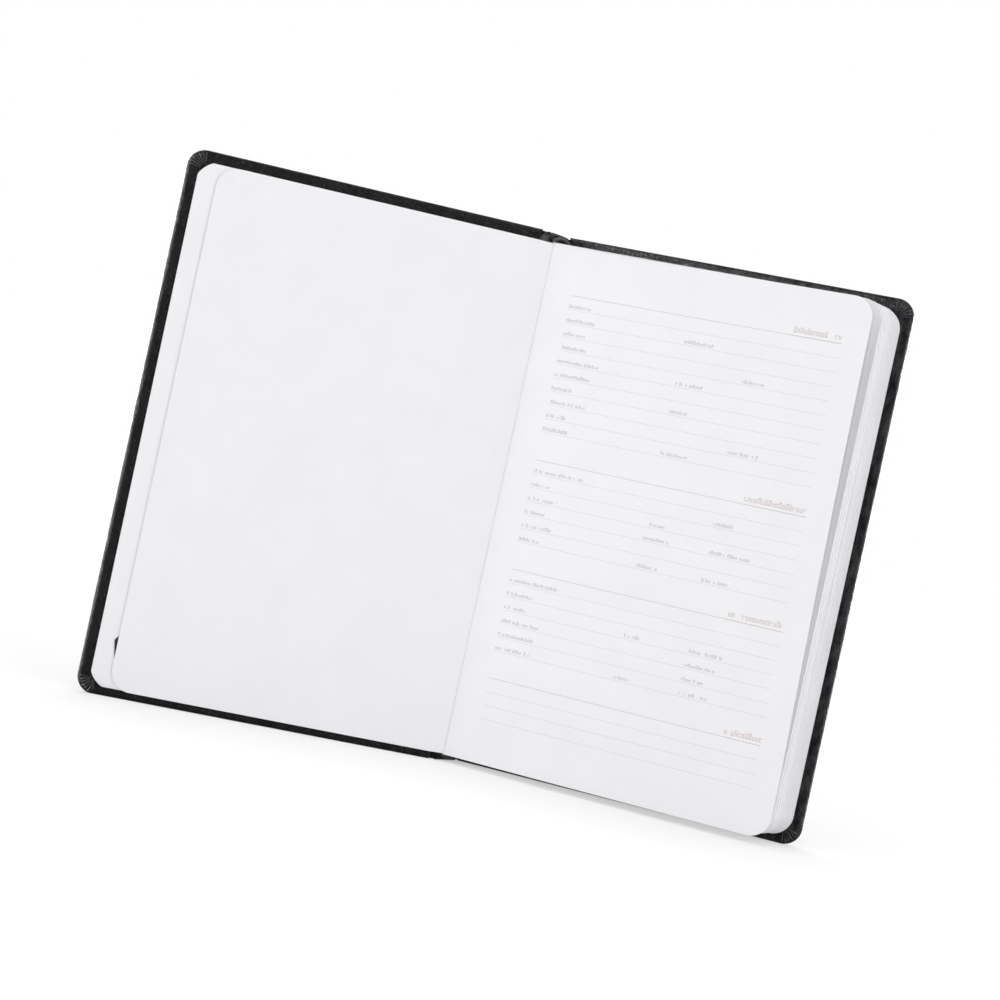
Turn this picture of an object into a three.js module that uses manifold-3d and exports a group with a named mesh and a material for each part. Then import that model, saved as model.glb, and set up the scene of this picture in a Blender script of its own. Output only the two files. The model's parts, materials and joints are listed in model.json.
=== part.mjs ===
// An undated daily planner, case bound, standing on its foot and open at the first printed page.
//
// Millimetres, +Z up along the spine, the reader on the -Y side. Every piece is drawn as it lies in
// the closed book, and the groups then open it: the back cover runs from its joint towards +X with
// its inside facing -Y, and the spine runs from the back joint towards -Y, to the front joint.
import * as THREE from "three";
import { mergeVertices } from "three/addons/utils/BufferGeometryUtils.js";
import Module from "manifold-3d";

const wasm = await Module();
wasm.setup();

// Pages
const pageWidth = 131;
const pageHeight = 200;
const pageCornerRadius = 8;
const sectionCount = 11;
const sectionThickness = 0.9;
const sectionGap = 0.1;
const firstLeafThickness = 0.12;
const flyleafThickness = 0.15;
const flyleafSetBack = 12;
const flyleafStart = 3.4;

// Case
const foreSquare = 3.9;
const headSquare = 3.5;
const boardThickness = 2;
const skinThickness = 0.45;
const coverCornerRadius = 8.5;
const coverEdgeRadius = 1;
const turnInWidth = 13;
const groove = 1;
const foldGap = 0.1;
const pastedownThickness = 0.18;
const pastedownForeMargin = 4.6;
const pastedownHeadMargin = 4.1;
const pastedownStart = 2.6;
const pastedownCornerRadius = 5;
const stiffenerThickness = 0.8;
const stiffenerSetBack = 0.17;

// Spine linings, from the case towards the folds
const linerThickness = 0.2;
const linerDrop = 28;
const linerFootGap = 4;
const bandClothThickness = 0.15;
const bandClothHeight = 12;
const bandRollRadius = 0.8;
const gauzeThickness = 0.2;
const gauzeFlangeWidth = 24;
const gauzeEndGap = 6;
const threadDiameter = 0.3;
const threadCount = 5;
const threadEndInset = 22;
const glueThickness = 0.15;

// Ribbon marker
const ribbonWidth = 5;
const ribbonThickness = 0.2;
const ribbonAnchorLength = 26;
const ribbonHeadDrop = 1;
const ribbonTipHeight = 18;
const ribbonTipOverhang = 1.3;

// Clearances: between layers that lie on each other, and where a card sits in its wrapping
const layerGap = 0.08;
const cardGap = 0.12;

// How far the planner stands open, in degrees
const openingAngle = 151.8;
const spineLean = 18;
const lastSectionFan = -0.3;
const firstSectionFan = 3.4;
const firstLeafFan = 6.6;

// Layers of a cover, measured from its middle towards its inside
const boardFace = boardThickness / 2;
const coverFace = boardFace + layerGap + skinThickness;
const turnInFloor = boardFace + layerGap;
const pastedownFloor = coverFace + layerGap;
const pastedownFace = pastedownFloor + pastedownThickness;
const backFlyleafFloor = pastedownFace + layerGap;
const backFlyleafFace = backFlyleafFloor + flyleafThickness;
const ribbonFloor = pastedownFace + layerGap;
const ribbonFace = ribbonFloor + ribbonThickness;
const frontFlyleafFloor = ribbonFace + layerGap;
const frontFlyleafFace = frontFlyleafFloor + flyleafThickness;

// Layers of the spine, measured from the middle of its skin towards the pages
const skinHalf = skinThickness / 2;
const stiffenerFloor = skinHalf + layerGap;
const stiffenerFace = stiffenerFloor + stiffenerThickness;
const spineTurnInFloor = stiffenerFace + layerGap;
const spineTurnInFace = spineTurnInFloor + skinThickness;
const linerFloor = spineTurnInFace + layerGap;
const linerFace = linerFloor + linerThickness;
const bandFloor = linerFace + layerGap;
const bandFace = bandFloor + bandClothThickness;
const gauzeFloor = bandFace + layerGap;
const gauzeFace = gauzeFloor + gauzeThickness;
const threadMiddle = gauzeFace + layerGap + threadDiameter / 2;
const glueFloor = threadMiddle + threadDiameter / 2 + layerGap;
const glueFace = glueFloor + glueThickness;
const foldLine = glueFace + layerGap;

// Places along the spine, from the back joint to the front joint
const sectionPitch = sectionThickness + sectionGap;
const blockStart = backFlyleafFace + layerGap;
const blockEnd = blockStart + sectionCount * sectionPitch;
const firstLeafFloor = blockEnd;
const firstLeafFace = firstLeafFloor + firstLeafThickness;
const spineLength = firstLeafFace + layerGap + frontFlyleafFace;

// Outer sizes
const foreEdge = foldLine + pageWidth;
const coverEdge = foreEdge + foreSquare;
const coverHalfHeight = pageHeight / 2 + headSquare;
const pageHalfHeight = pageHeight / 2;
const jointEnd = skinHalf + foldGap;
const frontFlyleafEdge = coverEdge - flyleafSetBack;

const colours = {
  leatherette: { color: 0x1b191b, roughness: 0.48 },
  card: { color: 0x8d8478, roughness: 0.9 },
  paper: { color: 0xf1f1f3, roughness: 0.85 },
  endpaper: { color: 0xf6f6f7, roughness: 0.8 },
  kraft: { color: 0xa9855a, roughness: 0.9 },
  gauze: { color: 0xddd6c4, roughness: 0.95 },
  band: { color: 0x3a2a2e, roughness: 0.8 },
  thread: { color: 0xe8e4da, roughness: 0.7 },
  glue: { color: 0xe9e2cf, roughness: 0.4 },
  ribbon: { color: 0x151315, roughness: 0.4 },
};

const radians = THREE.MathUtils.degToRad;

// A closed geometry as a solid that can be cut and joined.
function solidOf(geometry) {
  const bare = geometry.clone();
  bare.deleteAttribute("normal");
  bare.deleteAttribute("uv");
  const merged = mergeVertices(bare, 1e-4);
  const positions = merged.attributes.position.array;
  const triangles = new Uint32Array(merged.index.array);
  return new wasm.Manifold(
    new wasm.Mesh({ numProp: 3, vertProperties: positions, triVerts: triangles }),
  );
}

function geometryOf(solid) {
  const mesh = solid.getMesh();
  const indexed = new THREE.BufferGeometry();
  indexed.setAttribute("position", new THREE.BufferAttribute(mesh.vertProperties, 3));
  indexed.setIndex(new THREE.BufferAttribute(mesh.triVerts, 1));
  const geometry = indexed.toNonIndexed();
  geometry.computeVertexNormals();
  return geometry;
}

function cut(body, ...tools) {
  return geometryOf(tools.reduce((left, tool) => left.subtract(solidOf(tool)), solidOf(body)));
}

function join(first, ...others) {
  return geometryOf(others.reduce((sum, other) => sum.add(solidOf(other)), solidOf(first)));
}

function common(first, second) {
  return geometryOf(solidOf(first).intersect(solidOf(second)));
}

function block(low, high) {
  const size = high.map((value, axis) => value - low[axis]);
  const middle = high.map((value, axis) => (value + low[axis]) / 2);
  return new THREE.BoxGeometry(...size).translate(...middle);
}

// A sheet's outline: square at the joint, rounded at the fore-edge; x from the joint, y up.
function sheetOutline(start, end, halfHeight, radius) {
  const outline = new THREE.Shape();
  outline.moveTo(start, -halfHeight);
  outline.lineTo(end - radius, -halfHeight);
  outline.absarc(end - radius, radius - halfHeight, radius, -Math.PI / 2, 0);
  outline.lineTo(end, halfHeight - radius);
  outline.absarc(end - radius, halfHeight - radius, radius, 0, Math.PI / 2);
  outline.lineTo(start, halfHeight);
  outline.closePath();
  return outline;
}

// An outline given a thickness. The inside of the back cover faces -Y and that of the front +Y, so
// a depth towards the inside becomes a place on Y through the side's own sign.
const BACK = -1;
const FRONT = 1;

function sheet(outline, from, to, side = FRONT, edgeRadius = 0) {
  const geometry = new THREE.ExtrudeGeometry(outline, {
    depth: to - from - 2 * edgeRadius,
    curveSegments: 4,
    bevelEnabled: edgeRadius > 0,
    bevelSize: edgeRadius,
    bevelThickness: edgeRadius,
    bevelOffset: -edgeRadius,
    bevelSegments: 3,
  });
  geometry.rotateX(Math.PI / 2);
  const far = side === FRONT ? to : -from;
  return geometry.translate(0, far - edgeRadius, 0);
}

// A thin strip along the whole height, seen from above as a bar with round ends.
function roundEndedStrip(start, end, thickness, halfHeight) {
  const radius = thickness / 2;
  const bar = new THREE.Shape();
  bar.absarc(end - radius, 0, radius, -Math.PI / 2, Math.PI / 2);
  bar.absarc(start + radius, 0, radius, Math.PI / 2, (3 * Math.PI) / 2);
  bar.closePath();
  const depth = 2 * halfHeight;
  const strip = new THREE.ExtrudeGeometry(bar, { depth, bevelEnabled: false, curveSegments: 4 });
  return strip.translate(0, 0, -halfHeight);
}

function piece(name, geometry, colour) {
  const material = new THREE.MeshStandardMaterial({ metalness: 0, ...colours[colour] });
  const mesh = new THREE.Mesh(geometry, material);
  mesh.name = name;
  return mesh;
}

// The skin of a cover: round the board on the outside, and turned in over its head, foot and
// fore-edge. The middle of the inside stays open down to the board.
function coverSkin(side) {
  const outline = sheetOutline(groove, coverEdge, coverHalfHeight, coverCornerRadius);
  const shell = sheet(outline, -coverFace, coverFace, side, coverEdgeRadius);
  const room = sheet(boardOutline(-layerGap), -turnInFloor, turnInFloor, side);
  const window = sheetOutline(
    groove + skinThickness,
    coverEdge - turnInWidth,
    coverHalfHeight - turnInWidth,
    coverCornerRadius,
  );
  const opening = sheet(window, 0, coverFace + skinThickness, side);
  const jointStrip = roundEndedStrip(
    jointEnd,
    groove + skinThickness,
    skinThickness,
    coverHalfHeight - coverEdgeRadius,
  );
  return join(cut(shell, room, opening), jointStrip);
}

function boardOutline(inset) {
  const wall = skinThickness + layerGap + inset;
  return sheetOutline(
    groove + wall,
    coverEdge - wall,
    coverHalfHeight - wall,
    coverCornerRadius - wall,
  );
}

function board(side) {
  return sheet(boardOutline(0), -boardFace, boardFace, side);
}

function pastedown(side) {
  const outline = sheetOutline(
    pastedownStart,
    coverEdge - pastedownForeMargin,
    coverHalfHeight - pastedownHeadMargin,
    pastedownCornerRadius,
  );
  return sheet(outline, pastedownFloor, pastedownFace, side);
}

// The gauze runs on from the spine under each pastedown, inside the turn-ins.
function gauzeFlange(side) {
  const start = groove + skinThickness + layerGap;
  const halfHeight = coverHalfHeight - turnInWidth - cardGap;
  const outline = sheetOutline(start, start + gauzeFlangeWidth, halfHeight, cardGap);
  const floor = boardFace + layerGap;
  return sheet(outline, floor, floor + gauzeThickness, side);
}

function flyleaf(side, floor, end) {
  const outline = sheetOutline(flyleafStart, end, pageHalfHeight, pageCornerRadius);
  return sheet(outline, floor, floor + flyleafThickness, side);
}

// The skin of the spine: a flat back, closed over the stiffener at the head and the foot.
function spineSkin() {
  const back = roundEndedStrip(jointEnd, spineLength - jointEnd, skinThickness, coverHalfHeight);
  back.rotateZ(-Math.PI / 2);
  const [low, high] = [pastedownFace, spineLength - frontFlyleafFace];
  const folds = [1, -1].map((end) => {
    const top = end * coverHalfHeight;
    const bottom = end * (coverHalfHeight - turnInWidth);
    const outside = block(
      [0, -high, Math.min(top, bottom)],
      [spineTurnInFace, -low, Math.max(top, bottom)],
    );
    const inner = end * (coverHalfHeight - skinThickness);
    const past = end * (coverHalfHeight - 2 * turnInWidth);
    const room = block(
      [-skinThickness, -high - skinThickness, Math.min(inner, past)],
      [spineTurnInFloor, -low + skinThickness, Math.max(inner, past)],
    );
    return cut(outside, room);
  });
  return join(back, ...folds);
}

function spineStiffener() {
  const inset = coverFace + stiffenerSetBack;
  const halfHeight = coverHalfHeight - skinThickness - cardGap;
  return block(
    [stiffenerFloor, inset - spineLength, -halfHeight],
    [stiffenerFace, -inset, halfHeight],
  );
}

// A lining glued along the backs of the sections, as wide as the block of pages.
function lining(floor, face, low, high) {
  return block([floor, -blockEnd, low], [face, -blockStart, high]);
}

// A head or tail band: a rolled cloth edge that covers the ends of the folds, and the cloth that
// glues it to the spine.
function band(end) {
  const rollMiddle = end * (pageHalfHeight + layerGap + bandRollRadius);
  const roll = new THREE.CylinderGeometry(
    bandRollRadius,
    bandRollRadius,
    blockEnd - blockStart,
    12,
  );
  roll.translate(bandFloor + bandRollRadius, -(blockStart + blockEnd) / 2, rollMiddle);
  const inner = end * (pageHalfHeight - bandClothHeight);
  const cloth = lining(
    bandFloor,
    bandFace,
    Math.min(inner, rollMiddle),
    Math.max(inner, rollMiddle),
  );
  return join(roll, cloth);
}

// One station of the sewing: the thread that links all the folds at one height.
function sewingThread(index) {
  const span = pageHeight - 2 * threadEndInset;
  const height = -span / 2 + (span * index) / (threadCount - 1);
  const length = blockEnd - blockStart;
  const thread = new THREE.CylinderGeometry(threadDiameter / 2, threadDiameter / 2, length, 8);
  return thread.translate(threadMiddle, -(blockStart + blockEnd) / 2, height);
}

// The ribbon lies flat on the front pastedown, from the head of the gutter to the fore-edge of the
// flyleaf, where its slanting end shows. Its upper edge runs from the head to the tip.
function ribbonMarker() {
  const head = new THREE.Vector2(flyleafStart, pageHalfHeight - ribbonHeadDrop);
  const tip = new THREE.Vector2(
    frontFlyleafEdge + ribbonTipOverhang,
    ribbonTipHeight - pageHalfHeight,
  );
  const along = tip.clone().sub(head).setLength(ribbonWidth);
  const across = new THREE.Vector2(-along.y, along.x);
  const slantEnd = tip.clone().sub(across).add(along);
  const gutterEnd = head.clone().sub(across).addScaledVector(along, across.x / along.x);
  const outline = new THREE.Shape([head, tip, slantEnd, gutterEnd]);
  return sheet(outline, ribbonFloor, ribbonFace, FRONT);
}

function ribbonAnchor() {
  const middle = (blockStart + blockEnd) / 2;
  return block(
    [linerFloor, -middle - ribbonWidth / 2, pageHalfHeight - ribbonAnchorLength],
    [linerFace, -middle + ribbonWidth / 2, pageHalfHeight],
  );
}

// A folded section of leaves, drawn from its fold, which is rounded.
function section() {
  const outline = sheetOutline(0, pageWidth, pageHalfHeight, pageCornerRadius);
  const half = sectionThickness / 2;
  const leaves = sheet(outline, -half, half);
  const foldShape = roundEndedStrip(
    0,
    pageWidth + sectionThickness,
    sectionThickness,
    pageHalfHeight,
  );
  return common(leaves, foldShape);
}

function leaf() {
  const outline = sheetOutline(0, pageWidth, pageHalfHeight, pageCornerRadius);
  return sheet(outline, -firstLeafThickness / 2, firstLeafThickness / 2);
}

// The soft line of the skin on which a cover turns.
function jointSkin() {
  const height = 2 * (coverHalfHeight - coverEdgeRadius);
  return new THREE.CylinderGeometry(skinHalf, skinHalf, height, 12).rotateX(Math.PI / 2);
}

// A group that opens by an angle, in degrees about +Z, round a point of its parent.
function opened(x, y, angle, ...parts) {
  const group = new THREE.Group();
  group.position.set(x, y, 0);
  group.rotation.z = radians(angle);
  group.add(...parts);
  return group;
}

function fanAngle(index) {
  const share = index / (sectionCount - 1);
  return lastSectionFan + (firstSectionFan - lastSectionFan) * share;
}

function textBlock() {
  const groups = [];
  for (let index = 0; index < sectionCount; index += 1) {
    const name = `section_${String(index + 1).padStart(2, "0")}`;
    const middle = blockStart + (index + 0.5) * sectionPitch;
    const lean = spineLean - fanAngle(index);
    groups.push(opened(foldLine, -middle, lean, piece(name, section(), "paper")));
  }
  const leafMiddle = (firstLeafFloor + firstLeafFace) / 2;
  const leafLean = spineLean - firstLeafFan;
  groups.push(opened(foldLine, -leafMiddle, leafLean, piece("first_leaf", leaf(), "paper")));
  return groups;
}

function spinePieces() {
  const [foot, head] = [-pageHalfHeight, pageHalfHeight];
  const pieces = [
    piece("spine_skin", spineSkin(), "leatherette"),
    piece("spine_stiffener", spineStiffener(), "card"),
    piece("front_joint_skin", jointSkin().translate(0, -spineLength, 0), "leatherette"),
    piece(
      "spine_liner",
      lining(linerFloor, linerFace, foot + linerFootGap, head - linerDrop),
      "kraft",
    ),
    piece("ribbon_anchor", ribbonAnchor(), "ribbon"),
    piece("head_band", band(1), "band"),
    piece("tail_band", band(-1), "band"),
    piece(
      "spine_gauze",
      lining(gauzeFloor, gauzeFace, foot + gauzeEndGap, head - gauzeEndGap),
      "gauze",
    ),
    piece("spine_glue", lining(glueFloor, glueFace, foot, head), "glue"),
  ];
  for (let index = 0; index < threadCount; index += 1) {
    pieces.push(piece(`sewing_thread_${index + 1}`, sewingThread(index), "thread"));
  }
  return pieces;
}

function frontCover() {
  return [
    piece("front_board", board(FRONT), "card"),
    piece("front_cover_skin", coverSkin(FRONT), "leatherette"),
    piece("front_gauze_flange", gauzeFlange(FRONT), "gauze"),
    piece("front_pastedown", pastedown(FRONT), "endpaper"),
    piece("ribbon_marker", ribbonMarker(), "ribbon"),
    piece("front_flyleaf", flyleaf(FRONT, frontFlyleafFloor, frontFlyleafEdge), "endpaper"),
  ];
}

function backCover() {
  return [
    piece("back_board", board(BACK), "card"),
    piece("back_cover_skin", coverSkin(BACK), "leatherette"),
    piece("back_gauze_flange", gauzeFlange(BACK), "gauze"),
    piece("back_pastedown", pastedown(BACK), "endpaper"),
    piece("back_joint_skin", jointSkin(), "leatherette"),
    piece("back_flyleaf", flyleaf(BACK, backFlyleafFloor, foreEdge), "endpaper"),
  ];
}

// The whole planner, turned so that both covers stand at the same angle to the reader, and set with
// its foot on Z = 0 and its middle over the origin.
function planner() {
  const front = opened(0, -spineLength, spineLean - openingAngle, ...frontCover());
  const spine = opened(0, 0, -spineLean, ...spinePieces(), ...textBlock(), front);
  const turned = opened(0, 0, (openingAngle - 180) / 2, ...backCover(), spine);
  const group = new THREE.Group();
  group.add(turned);
  group.updateMatrixWorld(true);
  const box = new THREE.Box3().setFromObject(group, true);
  const middle = box.getCenter(new THREE.Vector3());
  turned.position.set(-middle.x, -middle.y, -box.min.z);
  return group;
}

export default planner();
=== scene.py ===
import json
import math
import random

import bmesh
import bpy
from bpy.props import (
    FloatProperty,
    FloatVectorProperty,
    IntProperty,
    IntVectorProperty,
    PointerProperty,
)
from mathutils import Matrix, Vector


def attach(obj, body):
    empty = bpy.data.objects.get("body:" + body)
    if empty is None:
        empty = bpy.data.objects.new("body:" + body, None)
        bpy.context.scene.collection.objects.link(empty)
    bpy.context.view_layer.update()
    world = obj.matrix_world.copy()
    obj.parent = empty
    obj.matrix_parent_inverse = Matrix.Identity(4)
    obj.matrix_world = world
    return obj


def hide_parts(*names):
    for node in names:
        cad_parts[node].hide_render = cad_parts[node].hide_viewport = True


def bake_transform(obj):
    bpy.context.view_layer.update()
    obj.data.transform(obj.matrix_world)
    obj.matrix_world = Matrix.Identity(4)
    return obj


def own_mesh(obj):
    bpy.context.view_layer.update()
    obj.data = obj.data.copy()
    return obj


bl_info = {
    "name": "Daily planner",
    "version": (1, 0, 0),
    "blender": (4, 5, 0),
    "location": "3D View > Sidebar > Planner",
    "description": "Dresses a case-bound daily planner: leatherette, endpapers, leaves, bands and ribbon",
    "category": "Object",
}

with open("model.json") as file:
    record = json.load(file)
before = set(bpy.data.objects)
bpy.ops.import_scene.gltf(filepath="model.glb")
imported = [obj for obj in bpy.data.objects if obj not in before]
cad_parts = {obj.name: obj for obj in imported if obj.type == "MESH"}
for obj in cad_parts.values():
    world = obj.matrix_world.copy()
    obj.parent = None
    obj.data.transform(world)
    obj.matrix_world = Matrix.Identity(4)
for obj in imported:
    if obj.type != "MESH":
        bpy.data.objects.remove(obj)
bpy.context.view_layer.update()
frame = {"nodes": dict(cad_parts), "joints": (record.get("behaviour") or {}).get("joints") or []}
joints = {joint["name"]: joint for joint in frame["joints"]}

MM = 0.001
UP = Vector((0, 0, 1))
SECTION_NAMES = sorted(name for name in frame["nodes"] if name.startswith("section_"))

# The picture, 1000 pixels wide and high: where it was taken from, in metres and degrees
PICTURE_WIDTH = 1000
FOCAL_PIXELS = 2442.2
SENSOR_WIDTH = 36
CAMERA_PLACE = Vector((0.05827, -0.91802, 0.11483))
CAMERA_YAW = math.radians(-3.531)
CAMERA_PITCH = math.radians(-0.748)
CAMERA_ROLL = math.radians(12.224)

# The corners of the covers carry the pleats, so they have more steps than the corners of paper
COVER_CORNER_STEPS = 40
PAPER_CORNER_STEPS = 12


def length_property(name, description, value):
    """A length of the planner, given in millimetres."""
    return FloatProperty(name=name, description=description, default=value * MM, unit="LENGTH")


def count_property(name, description, value):
    return IntProperty(name=name, description=description, default=value)


def colour_property(name, description, value):
    return FloatVectorProperty(name=name, description=description, default=value, subtype="COLOR")


class PlannerSizes(bpy.types.PropertyGroup):
    cover_corner_radius: length_property(
        "Cover corner radius", "Radius of the rounded corners of both covers", 7
    )
    cover_edge_radius: length_property(
        "Cover edge radius", "Rounding of the leatherette where it wraps the edge of a board", 1.45
    )
    cover_growth: length_property(
        "Cover growth", "How much the leatherette adds to the head and the foot of a cover", 0.3
    )
    turn_in_width: length_property(
        "Turn-in width", "How far the leatherette is turned in over the inside of a board", 13
    )
    skin_thickness: length_property(
        "Leatherette thickness", "Thickness of the covering material", 0.45
    )
    pleat_count: count_property(
        "Pleats", "Pleats of the turn-in round each rounded corner", 7
    )
    pleat_height: length_property(
        "Pleat height", "How far a pleat stands up from the turn-in", 0.55
    )
    pastedown_corner_cut: length_property(
        "Pastedown corner", "How much of each corner is cut from the pastedowns", 5.2
    )
    pastedown_step: length_property(
        "Pastedown step", "From the edge of a pastedown to where the turn-in under it ends", 8.6
    )
    pastedown_drop: length_property(
        "Pastedown drop", "How much further down than its solid the foot of a pastedown reaches", 0.8
    )
    pastedown_sink: length_property(
        "Pastedown sink", "How far a pastedown sinks past the end of the turn-in under it", 0.26
    )
    page_corner_radius: length_property(
        "Page corner radius", "Radius of the rounded fore-edge corners of the pages", 8
    )
    paper_settle: length_property(
        "Paper settle", "How far the leaves have settled towards the foot of the case", 0.55
    )
    sheets_per_section: count_property(
        "Sheets in a section", "Folded sheets in each sewn section, two leaves each", 6
    )
    section_spread: length_property(
        "Section spread", "Thickness of a section at the fore-edge as the planner stands open", 1.80
    )
    section_growth: length_property(
        "Section growth", "How much wider than its solid a section is at the fore-edge", 0.5
    )
    band_arch: length_property(
        "Band arch", "How far the middle of the head and tail bands rises above their ends", 1.3
    )
    flyleaf_lift: length_property(
        "Flyleaf lift", "How far the fore-edge of the front flyleaf springs up from the pastedown", 0.05
    )
    text_left: length_property(
        "Text margin", "From the gutter to the start of the printed lines", 12
    )
    text_right: length_property(
        "Outer margin", "From the end of the printed lines to the fore-edge", 9.4
    )
    row_pitch: length_property("Row pitch", "Distance between the printed lines", 5.3)
    rule_places: FloatVectorProperty(
        name="Heading rules",
        description="From the head of the page to the rule under each heading",
        size=4,
        default=(18.2 * MM, 82.2 * MM, 124.8 * MM, 167.2 * MM),
        unit="LENGTH",
    )
    rule_rows: IntVectorProperty(
        name="Rows",
        description="Rows of lines under each heading",
        size=4,
        default=(10, 6, 6, 3),
    )


class PlannerColours(bpy.types.PropertyGroup):
    leatherette: colour_property(
        "Leatherette", "Covering of the case", (0.0034, 0.0031, 0.0036)
    )
    # Light grey for rubbed rims and dust specks. It is also the painted highlight on the rims and pleats
    # and the painted sheen on the back cover's inside.
    rubbed_and_sheen: colour_property(
        "Rubbed leatherette and sheen",
        "Rims, pleats and specks where the leatherette is rubbed",
        (0.085, 0.083, 0.090),
    )
    paper: colour_property("Paper", "Pages of the text block", (0.825, 0.820, 0.842))
    # The endpaper is the paper's colour made a little darker: painted shade that offsets the extra light
    # the fore-edge lamp throws on the front flyleaf.
    endpaper: colour_property("Endpaper", "Pastedowns and flyleaves", (0.806, 0.802, 0.823))
    line_ink: colour_property("Line ink", "Writing lines and small print", (0.36, 0.36, 0.37))
    heading_ink: colour_property(
        "Heading ink", "Headings and the rule under them", (0.40, 0.26, 0.24)
    )
    ribbon: colour_property("Ribbon", "Ribbon marker", (0.012, 0.011, 0.013))
    band: colour_property("Bands", "Head and tail bands", (0.055, 0.026, 0.032))
    band_stripe: colour_property(
        "Band stripe", "Second thread of the head and tail bands", (0.020, 0.014, 0.018)
    )
    card: colour_property("Greyboard", "Boards of the covers", (0.27, 0.245, 0.21))
    spine_card: colour_property(
        "Spine card", "Dyed card that stiffens the spine", (0.016, 0.014, 0.015)
    )
    kraft: colour_property("Kraft paper", "Spine liner", (0.40, 0.25, 0.12))
    gauze: colour_property(
        "Gauze", "Open-weave cloth that joins the block to its case", (0.74, 0.69, 0.56)
    )
    thread: colour_property("Thread", "Sewing thread", (0.80, 0.77, 0.70))
    glue: colour_property("Glue", "Glue over the folds of the sections", (0.80, 0.75, 0.62))


def joint_point(name):
    return Vector(joints[name]["pos_m"])


def lie_place(origin, towards, mirrored=False):
    """Where a sheet lies: x runs from origin towards its other edge, y up, and z out of the sheet."""
    along = Vector((towards.x - origin.x, towards.y - origin.y, 0)).normalized()
    out = along.cross(UP)
    if mirrored:
        out.negate()
    place = Matrix((along, UP, out)).transposed().to_4x4()
    place.translation = origin
    return place


def far_edge(node, origin):
    """The middle of the edge of a CAD node that lies furthest from an upright axis."""
    places = [vertex.co for vertex in frame["nodes"][node].data.vertices]
    reach = [math.hypot(co.x - origin.x, co.y - origin.y) for co in places]
    limit = max(reach) - 1e-5
    far = [co for co, distance in zip(places, reach) if distance > limit]
    return sum(far, Vector()) / len(far)


def extent(node, place):
    """The lowest and highest corner of a CAD node, as it is seen from a place."""
    inverse = place.inverted()
    local = [inverse @ vertex.co for vertex in frame["nodes"][node].data.vertices]
    low = Vector([min(co[axis] for co in local) for axis in range(3)])
    high = Vector([max(co[axis] for co in local) for axis in range(3)])
    return low, high


BACK_JOINT = joint_point("back_cover_turn")
FRONT_JOINT = joint_point("front_cover_turn")
BACK = lie_place(BACK_JOINT, far_edge("back_cover_skin", BACK_JOINT))
FRONT = lie_place(FRONT_JOINT, far_edge("front_cover_skin", FRONT_JOINT), mirrored=True)
SPINE = lie_place(BACK_JOINT, FRONT_JOINT, mirrored=True)
SPINE_ALONG, SPINE_UP, SPINE_OUT = (SPINE.col[axis].xyz for axis in range(3))

# The place of a piece that is drawn where it lies
STAYS = Matrix.Identity(4)


def hinged_place(node):
    origin = joint_point(node + "_turn")
    return lie_place(origin, far_edge(node, origin))


def smooth_step(value, low, high):
    share = min(max((value - low) / (high - low), 0), 1)
    return share * share * (3 - 2 * share)


# Drawing and shaping


def outline(bm, start, end, half, radius, depth, steps, profile=0.5, both_ends=False):
    """A sheet's outline as one face: its fore-edge corners are rounded, and on request all four."""
    old = set(bm.faces)
    places = ((start, -half), (end, -half), (end, half), (start, half))
    corners = [bm.verts.new((x, y, depth)) for x, y in places]
    bm.faces.new(corners)
    bmesh.ops.bevel(
        bm,
        geom=corners if both_ends else corners[1:3],
        offset=radius,
        offset_type="OFFSET",
        affect="VERTICES",
        segments=steps,
        profile=profile,
        material=-1,
    )
    return next(face for face in bm.faces if face not in old)


def extruded(bm, face, first):
    """Draws a face out and returns the new one; only the first face stays, as the end of the body."""
    grown = bmesh.ops.extrude_face_region(bm, geom=[face])["geom"]
    if not first and face.is_valid:
        bmesh.ops.delete(bm, geom=[face], context="FACES_ONLY")
    return next(item for item in grown if isinstance(item, bmesh.types.BMFace))


def carried(co, before, after):
    """Where a corner of one outline comes to lie on the next one."""
    start, end, half, radius, depth = before
    side = math.copysign(1, co.y)
    if co.x < (start + end) / 2:
        return Vector((after[0], side * after[2], after[4]))
    centre = Vector((end - radius, side * (half - radius)))
    turned = (co.xy - centre) * after[3] / radius
    return Vector((after[1] - after[3] + turned.x, side * (after[2] - after[3]) + turned.y, after[4]))


def loft(rings, steps, profile=0.5):
    """A closed body through outlines, each given as its start, end, half height, radius and depth."""
    bm = bmesh.new()
    face = outline(bm, *rings[0], steps, profile)
    for before, after in zip(rings, rings[1:]):
        face = extruded(bm, face, before is rings[0])
        for vert in face.verts:
            vert.co = carried(vert.co, before, after)
    bmesh.ops.recalc_face_normals(bm, faces=bm.faces)
    return bm


def cut_sheet(start, end, half, radius, thickness, steps=PAPER_CORNER_STEPS, both_ends=False):
    """A sheet cut from flat stock, as a closed body with half its thickness on each side of z = 0."""
    bm = bmesh.new()
    face = outline(bm, start, end, half, radius, -thickness / 2, steps, both_ends=both_ends)
    face = extruded(bm, face, True)
    bmesh.ops.translate(bm, verts=face.verts, vec=(0, 0, thickness))
    bmesh.ops.recalc_face_normals(bm, faces=bm.faces)
    return bm


def crease(bm, axis, places):
    """Cuts a drawn shape across at each place on an axis, so that it can bend there."""
    for value in places:
        point = Vector()
        point[axis] = value
        normal = Vector()
        normal[axis] = 1
        geom = [*bm.verts, *bm.edges, *bm.faces]
        bmesh.ops.bisect_plane(bm, geom=geom, dist=1e-7, plane_co=point, plane_no=normal)


def evenly(start, end, count):
    return [start + (end - start) * index / (count - 1) for index in range(count)]


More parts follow.
